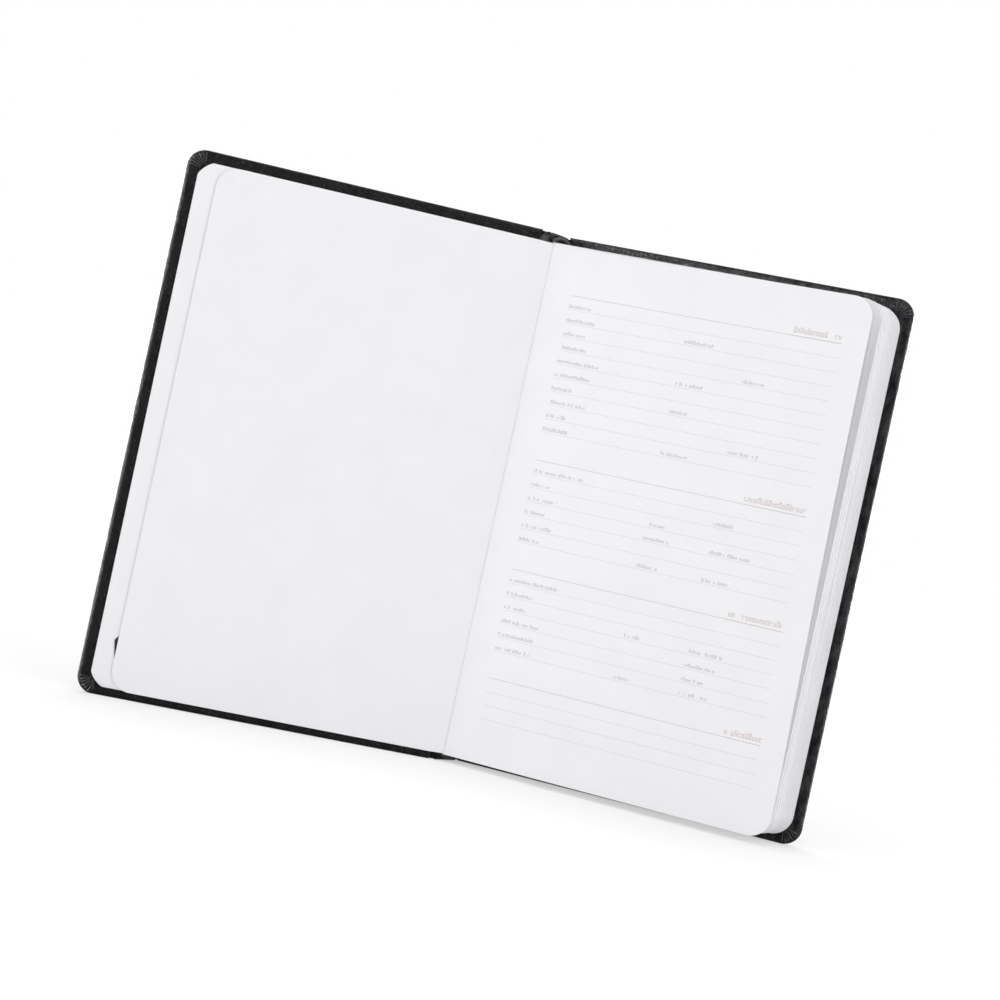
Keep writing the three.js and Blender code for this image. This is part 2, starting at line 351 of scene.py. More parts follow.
def strip_section(width, thickness, columns, crown=0.0):
    """The outline of a strip's cross-section: flat or crowned faces and rounded edges."""
    half, round_ = width / 2, thickness / 2
    reach = half - round_
    across = evenly(-reach, reach, columns + 1)
    rise = [crown * (1 - (x / reach) ** 2) for x in across]
    top = [Vector((x, y + round_)) for x, y in zip(across, rise)]
    bottom = [Vector((x, y - round_)) for x, y in zip(across, rise)]
    return [*reversed(top), Vector((-half, 0)), *bottom, Vector((half, 0))]


def ring_section(radius, sides):
    turns = [2 * math.pi * side / sides for side in range(sides)]
    return [Vector((radius * math.cos(turn), radius * math.sin(turn))) for turn in turns]


def station(place, across, out, stretch=1.0, scale=1.0):
    """Where a cross-section stands on its path, x across and y out, and how far it is drawn out there."""
    across = across.normalized()
    out = out.normalized()
    matrix = Matrix((across * stretch, out, across.cross(out))).transposed().to_4x4()
    matrix.translation = place
    return matrix @ Matrix.Scale(scale, 4)


def sweep(section, stations, bm=None):
    """A closed body from a cross-section that is carried from station to station."""
    bm = bm or bmesh.new()
    along = bm.verts.layers.float.get("along") or bm.verts.layers.float.new("along")
    across = bm.verts.layers.float.get("across") or bm.verts.layers.float.new("across")
    travelled = 0.0
    verts = []
    for x, y in section:
        vert = bm.verts.new(stations[0] @ Vector((x, y, 0)))
        vert[across] = x
        verts.append(vert)
    face = bm.faces.new(verts)
    for before, after in zip(stations, stations[1:]):
        travelled += (after.translation - before.translation).length
        face = extruded(bm, face, before is stations[0])
        bmesh.ops.transform(bm, matrix=after @ before.inverted(), verts=face.verts)
        for vert in face.verts:
            vert[along] = travelled
    return bm


def settle(bm, name, place, material, flat_uv=True, marks=None, sharp=40):
    """Turns a drawn shape into an object whose place is in its mesh, with marks for its finish."""
    uv = bm.loops.layers.uv.new("Flat")
    along = bm.verts.layers.float.get("along")
    across = bm.verts.layers.float.get("across")
    for face in bm.faces:
        for loop in face.loops:
            if flat_uv:
                loop[uv].uv = loop.vert.co.xy / MM
            else:
                loop[uv].uv = (loop.vert[across] / MM, loop.vert[along] / MM)
    return place_mesh(bm, name, place, material, marks, sharp)


def place_mesh(bm, name, place, material, marks=None, sharp=40):
    bmesh.ops.transform(bm, matrix=place, verts=bm.verts)
    bmesh.ops.recalc_face_normals(bm, faces=bm.faces)
    mesh = bpy.data.meshes.new(name)
    bm.to_mesh(mesh)
    bm.free()
    for mark, values in (marks or {}).items():
        mesh.attributes.new(mark, "FLOAT", "POINT").data.foreach_set("value", values)
    mesh.shade_smooth()
    mesh.set_sharp_from_angle(angle=math.radians(sharp))
    materials = material if isinstance(material, list) else [material]
    for item in materials:
        mesh.materials.append(item)
    piece = bpy.data.objects.new(name, mesh)
    bpy.context.scene.collection.objects.link(piece)
    return piece


# Finishes


class Tree:
    """Adds nodes to a node tree and links them."""

    def __init__(self, tree):
        self.tree = tree

    def add(self, kind, inputs=None, **settings):
        node = self.tree.nodes.new(kind)
        for name, value in settings.items():
            setattr(node, name, value)
        for name, value in (inputs or {}).items():
            self.feed(node.inputs[name], value)
        return node

    def feed(self, socket, value):
        if isinstance(value, bpy.types.NodeSocket):
            self.tree.links.new(value, socket)
        else:
            socket.default_value = value

    def math(self, operation, first, second=0.0, third=0.0):
        inputs = {0: first, 1: second, 2: third}
        return self.add("ShaderNodeMath", inputs, operation=operation).outputs[0]

    def plus(self, first, second):
        return self.math("ADD", first, second)

    def minus(self, first, second):
        return self.math("SUBTRACT", first, second)

    def above(self, value, limit):
        return self.math("GREATER_THAN", value, limit)

    def below(self, value, limit):
        return self.math("LESS_THAN", value, limit)

    def product(self, *values):
        result = values[0]
        for value in values[1:]:
            result = self.math("MULTIPLY", result, value)
        return result

    def between(self, value, low, high):
        return self.product(self.above(value, low), self.below(value, high))

    def mix(self, share, first, second):
        node = self.add("ShaderNodeMix", data_type="RGBA")
        self.feed(node.inputs[0], share)
        self.feed(node.inputs[6], first)
        self.feed(node.inputs[7], second)
        return node.outputs[2]

    def ranged(self, value, low, high, to_low=0.0, to_high=1.0):
        inputs = {0: value, 1: low, 2: high, 3: to_low, 4: to_high}
        return self.add("ShaderNodeMapRange", inputs, clamp=True).outputs[0]

    def noise(self, vector, scale, detail=2.0, roughness=0.5):
        inputs = {"Vector": vector, "Scale": scale, "Detail": detail, "Roughness": roughness}
        return self.add("ShaderNodeTexNoise", inputs).outputs[0]

    def group(self, tree, inputs):
        return self.add("ShaderNodeGroup", inputs, node_tree=tree).outputs

    def over(self, first, second, strength):
        """The stronger of two masks, the second one at a share of its strength."""
        return self.math("MAXIMUM", first, self.math("MULTIPLY", second, strength))


def new_group(name, inputs, outputs):
    """An empty shader group, a Tree to fill it and its sockets; an input without a value is a vector."""
    tree = bpy.data.node_groups.new(name, "ShaderNodeTree")
    for label, value in inputs.items():
        kind = "NodeSocketVector" if value is None else "NodeSocketFloat"
        socket = tree.interface.new_socket(label, in_out="INPUT", socket_type=kind)
        if value is not None:
            socket.default_value = value
    for label in outputs:
        tree.interface.new_socket(label, in_out="OUTPUT", socket_type="NodeSocketFloat")
    source = tree.nodes.new("NodeGroupInput")
    result = tree.nodes.new("NodeGroupOutput")
    return tree, Tree(tree), source.outputs, result.inputs


def grain_group():
    """Pebbled leather: small cells with soft tops and narrow creases between them, with a mask for painted
    shade in the creases.
    """
    inputs = {"Vector": None, "Cells per metre": 1500.0}
    group, tree, given, result = new_group("Leather grain", inputs, ["Height", "Crease shade"])
    warp = tree.add("ShaderNodeTexNoise", {"Vector": given["Vector"], "Scale": 700.0, "Detail": 2.0})
    offset = tree.add("ShaderNodeVectorMath", operation="SCALE")
    tree.feed(offset.inputs[0], warp.outputs["Color"])
    offset.inputs["Scale"].default_value = 0.0005
    moved = tree.add("ShaderNodeVectorMath", operation="ADD")
    tree.feed(moved.inputs[0], given["Vector"])
    tree.feed(moved.inputs[1], offset.outputs[0])
    cells = tree.add(
        "ShaderNodeTexVoronoi",
        {"Vector": moved.outputs[0], "Scale": given["Cells per metre"]},
        feature="DISTANCE_TO_EDGE",
    ).outputs["Distance"]
    dome = tree.ranged(cells, 0.0, 0.28)
    fine = tree.noise(given["Vector"], 6000.0, 2.0)
    tree.feed(result["Height"], tree.math("MULTIPLY_ADD", fine, 0.22, dome))
    tree.feed(result["Crease shade"], tree.ranged(cells, 0.0, 0.12, 1.0, 0.0))
    return group


def wear_and_sheen_group():
    """Rubbed edges, with painted highlight along them: a mask that follows the rim of the leatherette and
    breaks up into patches.
    """
    inputs = {"Vector": None, "Rim": 0.0, "Patch scale": 260.0}
    group, tree, given, result = new_group("Edge wear and sheen", inputs, ["Mask"])
    stretch = tree.add("ShaderNodeMapping", {"Vector": given["Vector"], "Scale": (1.0, 1.0, 0.4)})
    patches = tree.noise(stretch.outputs[0], given["Patch scale"], 4.0, 0.65)
    broken = tree.ranged(patches, 0.38, 0.68)
    edge = tree.ranged(given["Rim"], 0.35, 1.0)
    tree.feed(result["Mask"], tree.product(edge, broken))
    return group


def fibre_group():
    """Paper or card: a fine felt of fibres with faint clouds."""
    inputs = {"Vector": None, "Fibres per metre": 2500.0}
    group, tree, given, result = new_group("Paper fibre", inputs, ["Height", "Cloud"])
    stretch = tree.add("ShaderNodeMapping", {"Vector": given["Vector"], "Scale": (1.0, 1.0, 0.35)})
    fibres = tree.noise(stretch.outputs[0], given["Fibres per metre"], 4.0, 0.7)
    tree.feed(result["Height"], fibres)
    tree.feed(result["Cloud"], tree.noise(given["Vector"], 60.0, 3.0, 0.6))
    return group


def weave_group():
    """Plain weave from a flat map in millimetres: threads over and under each other."""
    inputs = {"Vector": None, "Threads per mm": 3.0}
    group, tree, given, result = new_group("Plain weave", inputs, ["Height", "Over"])
    parts = tree.add("ShaderNodeSeparateXYZ", {0: given["Vector"]})
    warp = tree.product(parts.outputs[0], given["Threads per mm"])
    weft = tree.product(parts.outputs[1], given["Threads per mm"])
    warp_round = tree.math("ABSOLUTE", tree.math("SINE", tree.product(warp, math.pi)))
    weft_round = tree.math("ABSOLUTE", tree.math("SINE", tree.product(weft, math.pi)))
    cells = tree.plus(tree.math("FLOOR", warp), tree.math("FLOOR", weft))
    over = tree.math("PINGPONG", cells, 1.0)
    under = tree.minus(1.0, over)
    height = tree.plus(tree.product(warp_round, over), tree.product(weft_round, under))
    tree.feed(result["Height"], height)
    tree.feed(result["Over"], over)
    return group


def rows_group():
    """Rows of writing lines, in millimetres from the gutter and from the head of the page."""
    places = {"X": 0.0, "Y": 0.0, "Top": 0.0, "Left": 0.0, "Right": 100.0}
    inputs = {**places, "Rows": 1.0, "Pitch": 5.0, "Weight": 0.15}
    outputs = ["Line", "Row", "Above", "Inside"]
    group, tree, given, result = new_group("Writing rows", inputs, outputs)
    count = tree.math("DIVIDE", tree.minus(given["Y"], given["Top"]), given["Pitch"])
    row = tree.math("CEIL", count)
    above = tree.product(tree.minus(row, count), given["Pitch"])
    rows = tree.between(row, 0.5, tree.plus(given["Rows"], 0.5))
    inside = tree.product(rows, tree.between(given["X"], given["Left"], given["Right"]))
    tree.feed(result["Line"], tree.product(inside, tree.below(above, given["Weight"])))
    tree.feed(result["Row"], row)
    tree.feed(result["Above"], above)
    tree.feed(result["Inside"], inside)
    return group


def print_group():
    """Rows of small open boxes in place of words; each box leaves out some of its sides."""
    places = {"X": 0.0, "Row": 0.0, "Above": 0.0, "Start": 0.0, "Base": 0.8}
    lengths = {"Shortest": 5.0, "Longest": 20.0, "Height": 1.3, "Letter": 0.8}
    inputs = {**places, **lengths, "Share": 1.0, "Seed": 0.0}
    group, tree, given, result = new_group("Small print", inputs, ["Mask"])
    seeded = tree.math("MULTIPLY_ADD", given["Row"], 7.31, given["Seed"])
    dice = tree.add("ShaderNodeTexWhiteNoise", noise_dimensions="1D", inputs={"W": seeded})
    parts = tree.add("ShaderNodeSeparateColor", {0: dice.outputs["Color"]})
    span = tree.minus(given["Longest"], given["Shortest"])
    length = tree.math("MULTIPLY_ADD", span, parts.outputs[0], given["Shortest"])
    present = tree.below(parts.outputs[1], given["Share"])
    along = tree.minus(given["X"], given["Start"])
    letters = tree.math("DIVIDE", along, given["Letter"])
    letter = tree.math("FLOOR", letters)
    within = tree.math("FRACT", letters)
    spot = tree.add("ShaderNodeCombineXYZ", {0: letter, 1: seeded})
    glyph = tree.add(
        "ShaderNodeTexWhiteNoise", noise_dimensions="2D", inputs={"Vector": spot.outputs[0]}
    ).outputs
    stroke = glyph["Value"]
    sides = tree.add("ShaderNodeSeparateColor", {0: glyph["Color"]}).outputs
    tall = tree.product(given["Height"], tree.ranged(stroke, 0.70, 0.72, 0.68, 1.0))
    level = tree.math("DIVIDE", tree.minus(given["Above"], given["Base"]), tall)
    near_side = tree.below(within, 0.26)
    far_side = tree.product(tree.between(within, 0.52, 0.78), tree.above(sides[0], 0.3))
    top_bar = tree.product(tree.between(level, 0.78, 1.0), tree.above(sides[1], 0.4))
    foot_bar = tree.product(tree.between(level, 0.0, 0.22), tree.above(sides[2], 0.4))
    bars = tree.product(tree.math("MAXIMUM", top_bar, foot_bar), tree.below(within, 0.78))
    drawn = tree.math("MAXIMUM", tree.math("MAXIMUM", near_side, far_side), bars)
    ink = tree.product(tree.above(stroke, 0.13), drawn)
    rows = tree.between(level, 0.0, 1.0)
    columns = tree.between(along, 0.0, length)
    tree.feed(result["Mask"], tree.product(present, ink, rows, columns))
    return group


groups = {}


def shared(name):
    """A shared effect's node group, built once."""
    makers = {
        "grain": grain_group,
        "wear_and_sheen": wear_and_sheen_group,
        "fibre": fibre_group,
        "weave": weave_group,
        "rows": rows_group,
        "print": print_group,
    }
    if name not in groups:
        groups[name] = makers[name]()
    return groups[name]


def new_finish(name, **settings):
    """A material with its Principled shader, whose plain values are set on its own sockets."""
    material = bpy.data.materials.new(name)
    material.use_nodes = True
    tree = Tree(material.node_tree)
    shader = material.node_tree.nodes["Principled BSDF"]
    for label, value in settings.items():
        shader.inputs[label.replace("_", " ")].default_value = value
    return material, tree, shader.inputs


def object_place(tree):
    return tree.add("ShaderNodeTexCoord").outputs["Object"]


def flat_map(tree):
    return tree.add("ShaderNodeUVMap", uv_map="Flat").outputs["UV"]


def add_bump(tree, shader, height, strength, distance):
    bump = tree.add("ShaderNodeBump", {"Height": height, "Strength": strength, "Distance": distance})
    tree.feed(shader["Normal"], bump.outputs["Normal"])


def colour4(colour, factor=1.0):
    return (colour[0] * factor, colour[1] * factor, colour[2] * factor, 1.0)


def leatherette_finish(colours):
    material, tree, shader = new_finish("leatherette", Specular_IOR_Level=0.06)
    place = object_place(tree)
    grain = tree.group(shared("grain"), {"Vector": place, "Cells per metre": 1150.0})
    rim = tree.add("ShaderNodeAttribute", attribute_name="rim").outputs["Fac"]
    ridge = tree.add("ShaderNodeAttribute", attribute_name="pleat").outputs["Fac"]
    wear_and_sheen = tree.group(shared("wear_and_sheen"), {"Vector": place, "Rim": rim, "Patch scale": 420.0})
    clouds = tree.ranged(tree.noise(place, 120.0, 3.0), 0.35, 0.7)
    base = tree.mix(clouds, colour4(colours.leatherette, 0.7), colour4(colours.leatherette, 1.9))
    # The creases of the grain are painted darker: painted shade in the valleys between the cells.
    crease_shaded = tree.mix(grain["Crease shade"], base, colour4(colours.leatherette, 0.2))
    dust = tree.ranged(tree.noise(place, 1500.0, 1.0), 0.70, 0.76)
    # Rubbed rims, painted lighter: partly wear, partly painted highlight along the rounded edge.
    rubbed_and_sheen = tree.product(wear_and_sheen["Mask"], 0.6)
    # The ridges of the pleats are painted lighter in patches: painted highlight on the pleats.
    patches = tree.ranged(tree.noise(place, 900.0, 3.0), 0.30, 0.55)
    marks = tree.math("MAXIMUM", rubbed_and_sheen, tree.product(ridge, ridge, patches, 1.8))
    marks = tree.over(marks, dust, 0.6)
    tree.feed(shader["Base Color"], tree.mix(marks, crease_shaded, colour4(colours.rubbed_and_sheen)))
    tree.feed(shader["Roughness"], tree.math("MULTIPLY_ADD", clouds, 0.12, 0.34))
    folds = tree.noise(place, 520.0, 3.0, 0.6)
    height = tree.math("MULTIPLY_ADD", folds, 1.2, grain["Height"])
    add_bump(tree, shader, height, 1.0, 0.0001)
    return material


def paper_base(tree, shader, colour):
    """The felt and the faint clouds of paper: sets the shader's bump and returns the bare colour."""
    fibre = tree.group(shared("fibre"), {"Vector": object_place(tree), "Fibres per metre": 2600.0})
    cloud = tree.ranged(fibre["Cloud"], 0.3, 0.7)
    add_bump(tree, shader, fibre["Height"], 0.10, 0.00005)
    return tree.mix(cloud, colour4(colour, 0.985), colour4(colour, 1.01))


def paper_finish(name, colour, rough=0.8):
    material, tree, shader = new_finish(name, Specular_IOR_Level=0.1, Roughness=rough)
    tree.feed(shader["Base Color"], paper_base(tree, shader, colour))
    return material


# How strongly each kind of print covers the paper
LINE_INK = 0.42
WORD_INK = 0.68
RULE_INK = 0.5
UNDERLINE_INK = 0.28
HEADING_INK = 0.5

# How thick the lines are drawn, and how long the headings are, in millimetres
LINE_WEIGHT = 0.16
RULE_WEIGHT = 0.26
UNDERLINE_WEIGHT = 0.3
HEADING_LENGTHS = (20.5, 24.5, 23.0, 14.5)
HEADING_LETTERS = {"Base": 1.3, "Height": 2.3, "Letter": 1.35}

# The columns of words: where each starts, its shortest and longest word, and the share of rows with one
WORD_COLUMNS = ((0.0, 7.0, 21.0, 1.0), (49.0, 6.0, 14.0, 0.35), (75.0, 6.0, 17.0, 0.45))
GROUPS_WITH_WORDS = 3


def printed_finish(sizes, colours, page):
    """The first page: writing lines in four groups, each under a heading at the right, and small print."""
    material, tree, shader = new_finish("printed_page", Specular_IOR_Level=0.1, Roughness=0.8)
    bare = paper_base(tree, shader, colours.paper)
    parts = tree.add("ShaderNodeSeparateXYZ", {0: flat_map(tree)})
    across = parts.outputs[0]
    down = tree.minus(page["half_height"] / MM, parts.outputs[1])
    left = sizes.text_left / MM
    right = (page["width"] - sizes.text_right) / MM
    spaced = {"Pitch": sizes.row_pitch / MM, "Left": left, "Right": right, "Weight": LINE_WEIGHT}
    pale, red = 0.0, 0.0
    for number, (top, rows) in enumerate(zip(sizes.rule_places, sizes.rule_rows)):
        top = top / MM
        place = {"X": across, "Y": down, "Top": top, "Rows": float(rows)}
        block = tree.group(shared("rows"), {**place, **spaced})
        pale = tree.over(pale, block["Line"], LINE_INK)
        columns = WORD_COLUMNS if number < GROUPS_WITH_WORDS else ()
        for column, (start, shortest, longest, share) in enumerate(columns):
            place = {"X": across, "Row": block["Row"], "Above": block["Above"], "Start": left + start}
            length = {"Shortest": shortest, "Longest": longest, "Share": share}
            seed = {"Seed": 3.7 * number + 11.3 * column}
            words = tree.group(shared("print"), {**place, **length, **seed})["Mask"]
            pale = tree.over(pale, tree.product(words, block["Inside"]), WORD_INK)
        length = HEADING_LENGTHS[number]
        height = tree.minus(top, down)
        rule = tree.between(height, 0.0, RULE_WEIGHT)
        pale = tree.over(pale, tree.product(rule, tree.between(across, left, right)), RULE_INK)
        under = tree.between(height, 0.0, UNDERLINE_WEIGHT)
        under = tree.product(under, tree.between(across, right - length, right))
        place = {"X": across, "Row": float(number), "Above": height, "Start": right - length}
        letters = {"Shortest": length, "Longest": length, **HEADING_LETTERS, "Seed": 41.7}
        heading = tree.group(shared("print"), {**place, **letters})["Mask"]
        red = tree.over(tree.over(red, under, UNDERLINE_INK), heading, HEADING_INK)
    lined = tree.mix(pale, bare, colour4(colours.line_ink))
    tree.feed(shader["Base Color"], tree.mix(red, lined, colour4(colours.heading_ink)))
    return material


def woven_finish(name, first, second, threads, rough, strength, flat=True):
    material, tree, shader = new_finish(name, Roughness=rough, Specular_IOR_Level=0.4)
    vector = flat_map(tree) if flat else metre_map(tree)
    weave = tree.group(shared("weave"), {"Vector": vector, "Threads per mm": threads})
    tree.feed(shader["Base Color"], tree.mix(weave["Over"], colour4(first), colour4(second)))
    add_bump(tree, shader, weave["Height"], strength, 0.1 * MM)
    return material


def metre_map(tree):
    """The distance along the spine and the height, in millimetres, for cloth that has no flat map."""
    parts = tree.add("ShaderNodeSeparateXYZ", {0: object_place(tree)})
    along = tree.minus(parts.outputs[0], parts.outputs[1])
    places = {0: tree.product(along, 1 / MM), 1: tree.product(parts.outputs[2], 1 / MM)}
    return tree.add("ShaderNodeCombineXYZ", places).outputs[0]


def ribbon_finish(colours):
    material, tree, shader = new_finish("satin_ribbon", Roughness=0.42, Specular_IOR_Level=0.12)
    weave = tree.group(shared("weave"), {"Vector": flat_map(tree), "Threads per mm": 5.0})
    # Where the lengthwise threads lie on top they are painted lighter: painted sheen on the satin floats.
    colour = tree.mix(weave["Over"], colour4(colours.ribbon), colour4(colours.ribbon, 1.6))
    tree.feed(shader["Base Color"], colour)
    add_bump(tree, shader, weave["Height"], 0.35, 0.00004)
    return material


def board_finish(name, colour, specked):
    """Greyboard or kraft paper: matted fibres with darker specks."""
    material, tree, shader = new_finish(name, Roughness=0.92, Specular_IOR_Level=0.2)
    place = object_place(tree)
    fibre = tree.group(shared("fibre"), {"Vector": place, "Fibres per metre": 1400.0})
    specks = tree.ranged(tree.noise(place, 900.0, 5.0, 0.75), 0.60, 0.68)
    base = tree.mix(fibre["Cloud"], colour4(colour, 0.85), colour4(colour, 1.15))
    share = tree.product(specks, specked)
    tree.feed(shader["Base Color"], tree.mix(share, base, colour4(colour, 0.4)))
    add_bump(tree, shader, fibre["Height"], 0.4, 0.0001)
    return material


def glue_finish(colours):
    material, tree, shader = new_finish("binding_glue", Specular_IOR_Level=0.5, Coat_Weight=0.25)
    place = object_place(tree)
    flow = tree.noise(place, 260.0, 3.0, 0.55)
    base = tree.mix(flow, colour4(colours.glue, 0.86), colour4(colours.glue, 1.06))
    tree.feed(shader["Base Color"], base)
    tree.feed(shader["Roughness"], tree.ranged(flow, 0.3, 0.7, 0.3, 0.5))
    add_bump(tree, shader, flow, 0.5, 0.0002)
    return material


def thread_finish(colours):
    material, tree, shader = new_finish("sewing_thread", Roughness=0.7, Sheen_Weight=0.2)
    parts = tree.add("ShaderNodeSeparateXYZ", {0: object_place(tree)})
    twist = tree.plus(parts.outputs[0], tree.product(parts.outputs[2], 1.4))
    # Stripes along the twist are painted darker: painted shade in the grooves between the strands.
    wave = tree.math("SINE", tree.product(twist, 24000.0))
    share = tree.ranged(wave, -1.0, 1.0)
    colour = tree.mix(share, colour4(colours.thread, 0.8), colour4(colours.thread, 1.05))
    tree.feed(shader["Base Color"], colour)
    add_bump(tree, shader, share, 0.5, 0.00005)
    return material


finishes = {}


def finish_for(context, name):
    """The finish of that name, made when it is first asked for."""
    colours = context.scene.planner_colours
    sizes = context.scene.planner_sizes
    makers = {
        "leatherette": lambda: leatherette_finish(colours),
        "paper": lambda: paper_finish("printing_paper", colours.paper),
        "endpaper": lambda: paper_finish("endpaper", colours.endpaper, 0.75),
        "printed": lambda: printed_finish(sizes, colours, page_sizes()),
        "ribbon": lambda: ribbon_finish(colours),
        "band": lambda: woven_finish(
            "band_cloth", colours.band, colours.band_stripe, threads=2.4, rough=0.7, strength=0.6
        ),
        "gauze": lambda: woven_finish(
            "gauze", colours.gauze, colours.gauze, threads=1.2, rough=0.9, strength=0.9, flat=False
        ),
        "card": lambda: board_finish("greyboard", colours.card, specked=0.6),
        "spine_card": lambda: board_finish("spine_card", colours.spine_card, specked=0.3),
        "kraft": lambda: board_finish("kraft_paper", colours.kraft, specked=0.4),
        "glue": lambda: glue_finish(colours),
        "thread": lambda: thread_finish(colours),
    }
    if name not in finishes:
        finishes[name] = makers[name]()
    return finishes[name]


# Pieces


def page_sizes():
    low, high = extent("first_leaf", hinged_place("first_leaf"))
    return {"width": high.x, "half_height": high.y, "thickness": high.z - low.z}


def cover_rings(high, sizes):
    """The outlines of a cover's leatherette, from its outside round the rim to its lining."""
    round_ = sizes.cover_edge_radius
    face = high.z
    floor = face - sizes.skin_thickness
    wall = sizes.skin_thickness + 0.08 * MM
    start = 1.0 * MM
    least = 1.2 * MM

    def ring(inset, depth, joint_inset=None):
        joint_side = inset if joint_inset is None else joint_inset
        radius = max(sizes.cover_corner_radius - inset, least)
        return (start + joint_side, high.x - inset, high.y - inset, radius, depth)

    turns = [math.radians(22.5 * step) for step in range(5)]
    bends = [(round_ * (1 - math.sin(turn)), round_ * (1 - math.cos(turn))) for turn in turns]
    outside = [ring(inset * MM, -face) for inset in (14, 7, 3, 1.7)]
    lower = [ring(inset, depth - face) for inset, depth in bends]
    upper = [ring(inset, face - depth) for inset, depth in reversed(bends)]
    inside = [
        ring(inset * MM, face, round_ + 0.04 * inset * MM)
        for inset in (1.7, 2.0, 2.3, 2.6, 3.0, 3.4, 3.9, 4.4, 5.0, 5.6, 6.2, 7.0, 9.0)
    ]
    edge = sizes.turn_in_width
    window = [ring(edge, face, round_ + 0.6 * MM), ring(edge, floor, round_ + 0.6 * MM)]
    lining = [ring(wall, floor), ring(wall, -floor)]
    return outside + lower + upper + inside + window + lining


def corner_place(co, high, radius):
    """Distance in from the outline and the turn round the nearest corner, 0 to 1, or None away from it."""
    from_edge = high.x - co.x
    from_end = high.y - abs(co.y)
    if from_edge < radius and from_end < radius:
        reach = math.hypot(radius - from_edge, radius - from_end)
        turn = math.atan2(radius - from_end, radius - from_edge) / (math.pi / 2)
        return radius - reach, turn
    return min(from_edge, from_end), None


def pleat(bm, high, sizes, dice):
    """Gathers the turn-in round the corners into radial pleats; returns each vertex's share of a ridge."""
    ridges = []
    radius = sizes.cover_corner_radius
    face = high.z
    heights = {
        (end, number): dice.uniform(0.55, 1.0)
        for end in (-1, 1)
        for number in range(sizes.pleat_count + 1)
    }
    for vert in bm.verts:
        inset, turn = corner_place(vert.co, high, radius)
        ridges.append(0.0)
        if turn is None or vert.co.z < face - 0.8 * MM:
            continue
        phase = turn * sizes.pleat_count
        height = heights[(1 if vert.co.y > 0 else -1, min(int(phase), sizes.pleat_count))]
        ridge = math.sin(math.pi * (phase % 1)) ** 1.4
        fade = smooth_step(inset, 0.1 * MM, 1.2 * MM) * (1 - smooth_step(inset, 4.4 * MM, 7 * MM))
        ends = smooth_step(turn, 0.0, 0.1) * (1 - smooth_step(turn, 0.9, 1.0))
        vert.co.z += sizes.pleat_height * height * (ridge - 0.35) * fade * ends
        ridges[-1] = ridge * height * fade * ends
    return ridges


def cover_skin(name, node, place, context, seed, rubbed_and_sheen=0.0, raised=0.0):
    """A cover's leatherette, with how much of its inside is rubbed and painted with sheen, and how far it
    is pulled up.
    """
    sizes = context.scene.planner_sizes
    high = extent(node, place)[1]
    high.y += sizes.cover_growth
    bm = loft(cover_rings(high, sizes), COVER_CORNER_STEPS)
    ridges = pleat(bm, high, sizes, random.Random(seed))

    def rim(co):
        inset = corner_place(co, high, sizes.cover_corner_radius)[0]
        edge = 1 - smooth_step(inset, 0.0, 1.6 * MM)
        return max(edge, rubbed_and_sheen) if co.z > 0 else edge

    marks = {"rim": [rim(vert.co) for vert in bm.verts], "pleat": ridges}
    bmesh.ops.translate(bm, verts=bm.verts, vec=(0, raised, 0))
    return settle(bm, name, place, finish_for(context, "leatherette"), marks=marks, sharp=55)


class PLANNER_OT_cover_skins(bpy.types.Operator):
    """Wrap both boards in leatherette, with rounded edges and pleated corners"""

    bl_idname = "planner.cover_skins"
    bl_label = "Cover skins"

    def execute(self, context):
        front = cover_skin("front_cover_leather", "front_cover_skin", FRONT, context, seed=5)
        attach(front, "front_cover")
        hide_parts("front_cover_skin")
        raised = context.scene.planner_sizes.cover_growth
        # The back cover's inside is painted lighter in patches all over: painted sheen on its border, with
        # some rubbing.
        back = cover_skin(
            "back_cover_leather", "back_cover_skin", BACK, context, seed=8, rubbed_and_sheen=0.8, raised=raised
        )
        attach(back, "back_cover")
        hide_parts("back_cover_skin")
        return {"FINISHED"}


def on_spine(along, up, out):
    return SPINE @ Vector((along, up, out))


def level_points(place, *points):
    """Points at the middle height of a place, each given in millimetres: along it, and out of it."""
    return [place @ Vector((along * MM, 0, out * MM)) for along, out in points]


def folded_stations(half, turn_in, depth, fold_radius, across):
    """Stations along the spine's leatherette, from its turn-in at the foot to the one at the head."""
    centre = half - fold_radius
    fold_turns = [22.5 * step for step in range(1, 8)]

    def fold(end, start):
        """One fold: the height, the distance out and the direction of each of its stations."""
        return [
            (
                end * (centre + fold_radius * math.sin(math.radians(turn))),
                depth / 2 - end * depth / 2 * math.cos(math.radians(turn)),
                start + turn,
            )
            for turn in fold_turns
        ]

    path = [(turn_in - half, depth, 90.0), (-centre, depth, 90.0), *fold(-1, 90.0)]
    path += [(level, 0.0, 270.0) for level in evenly(-centre, centre, 13)]
    path += [*fold(1, 270.0), (centre, depth, 450.0), (half - turn_in, depth, 450.0)]
    stations = []
    for level, out, turn in path:
        angle = math.radians(turn)
        normal = SPINE.to_3x3() @ Vector((0, -math.cos(angle), math.sin(angle)))
        stations.append(station(on_spine(across, level, out), SPINE_ALONG, normal))
    return stations


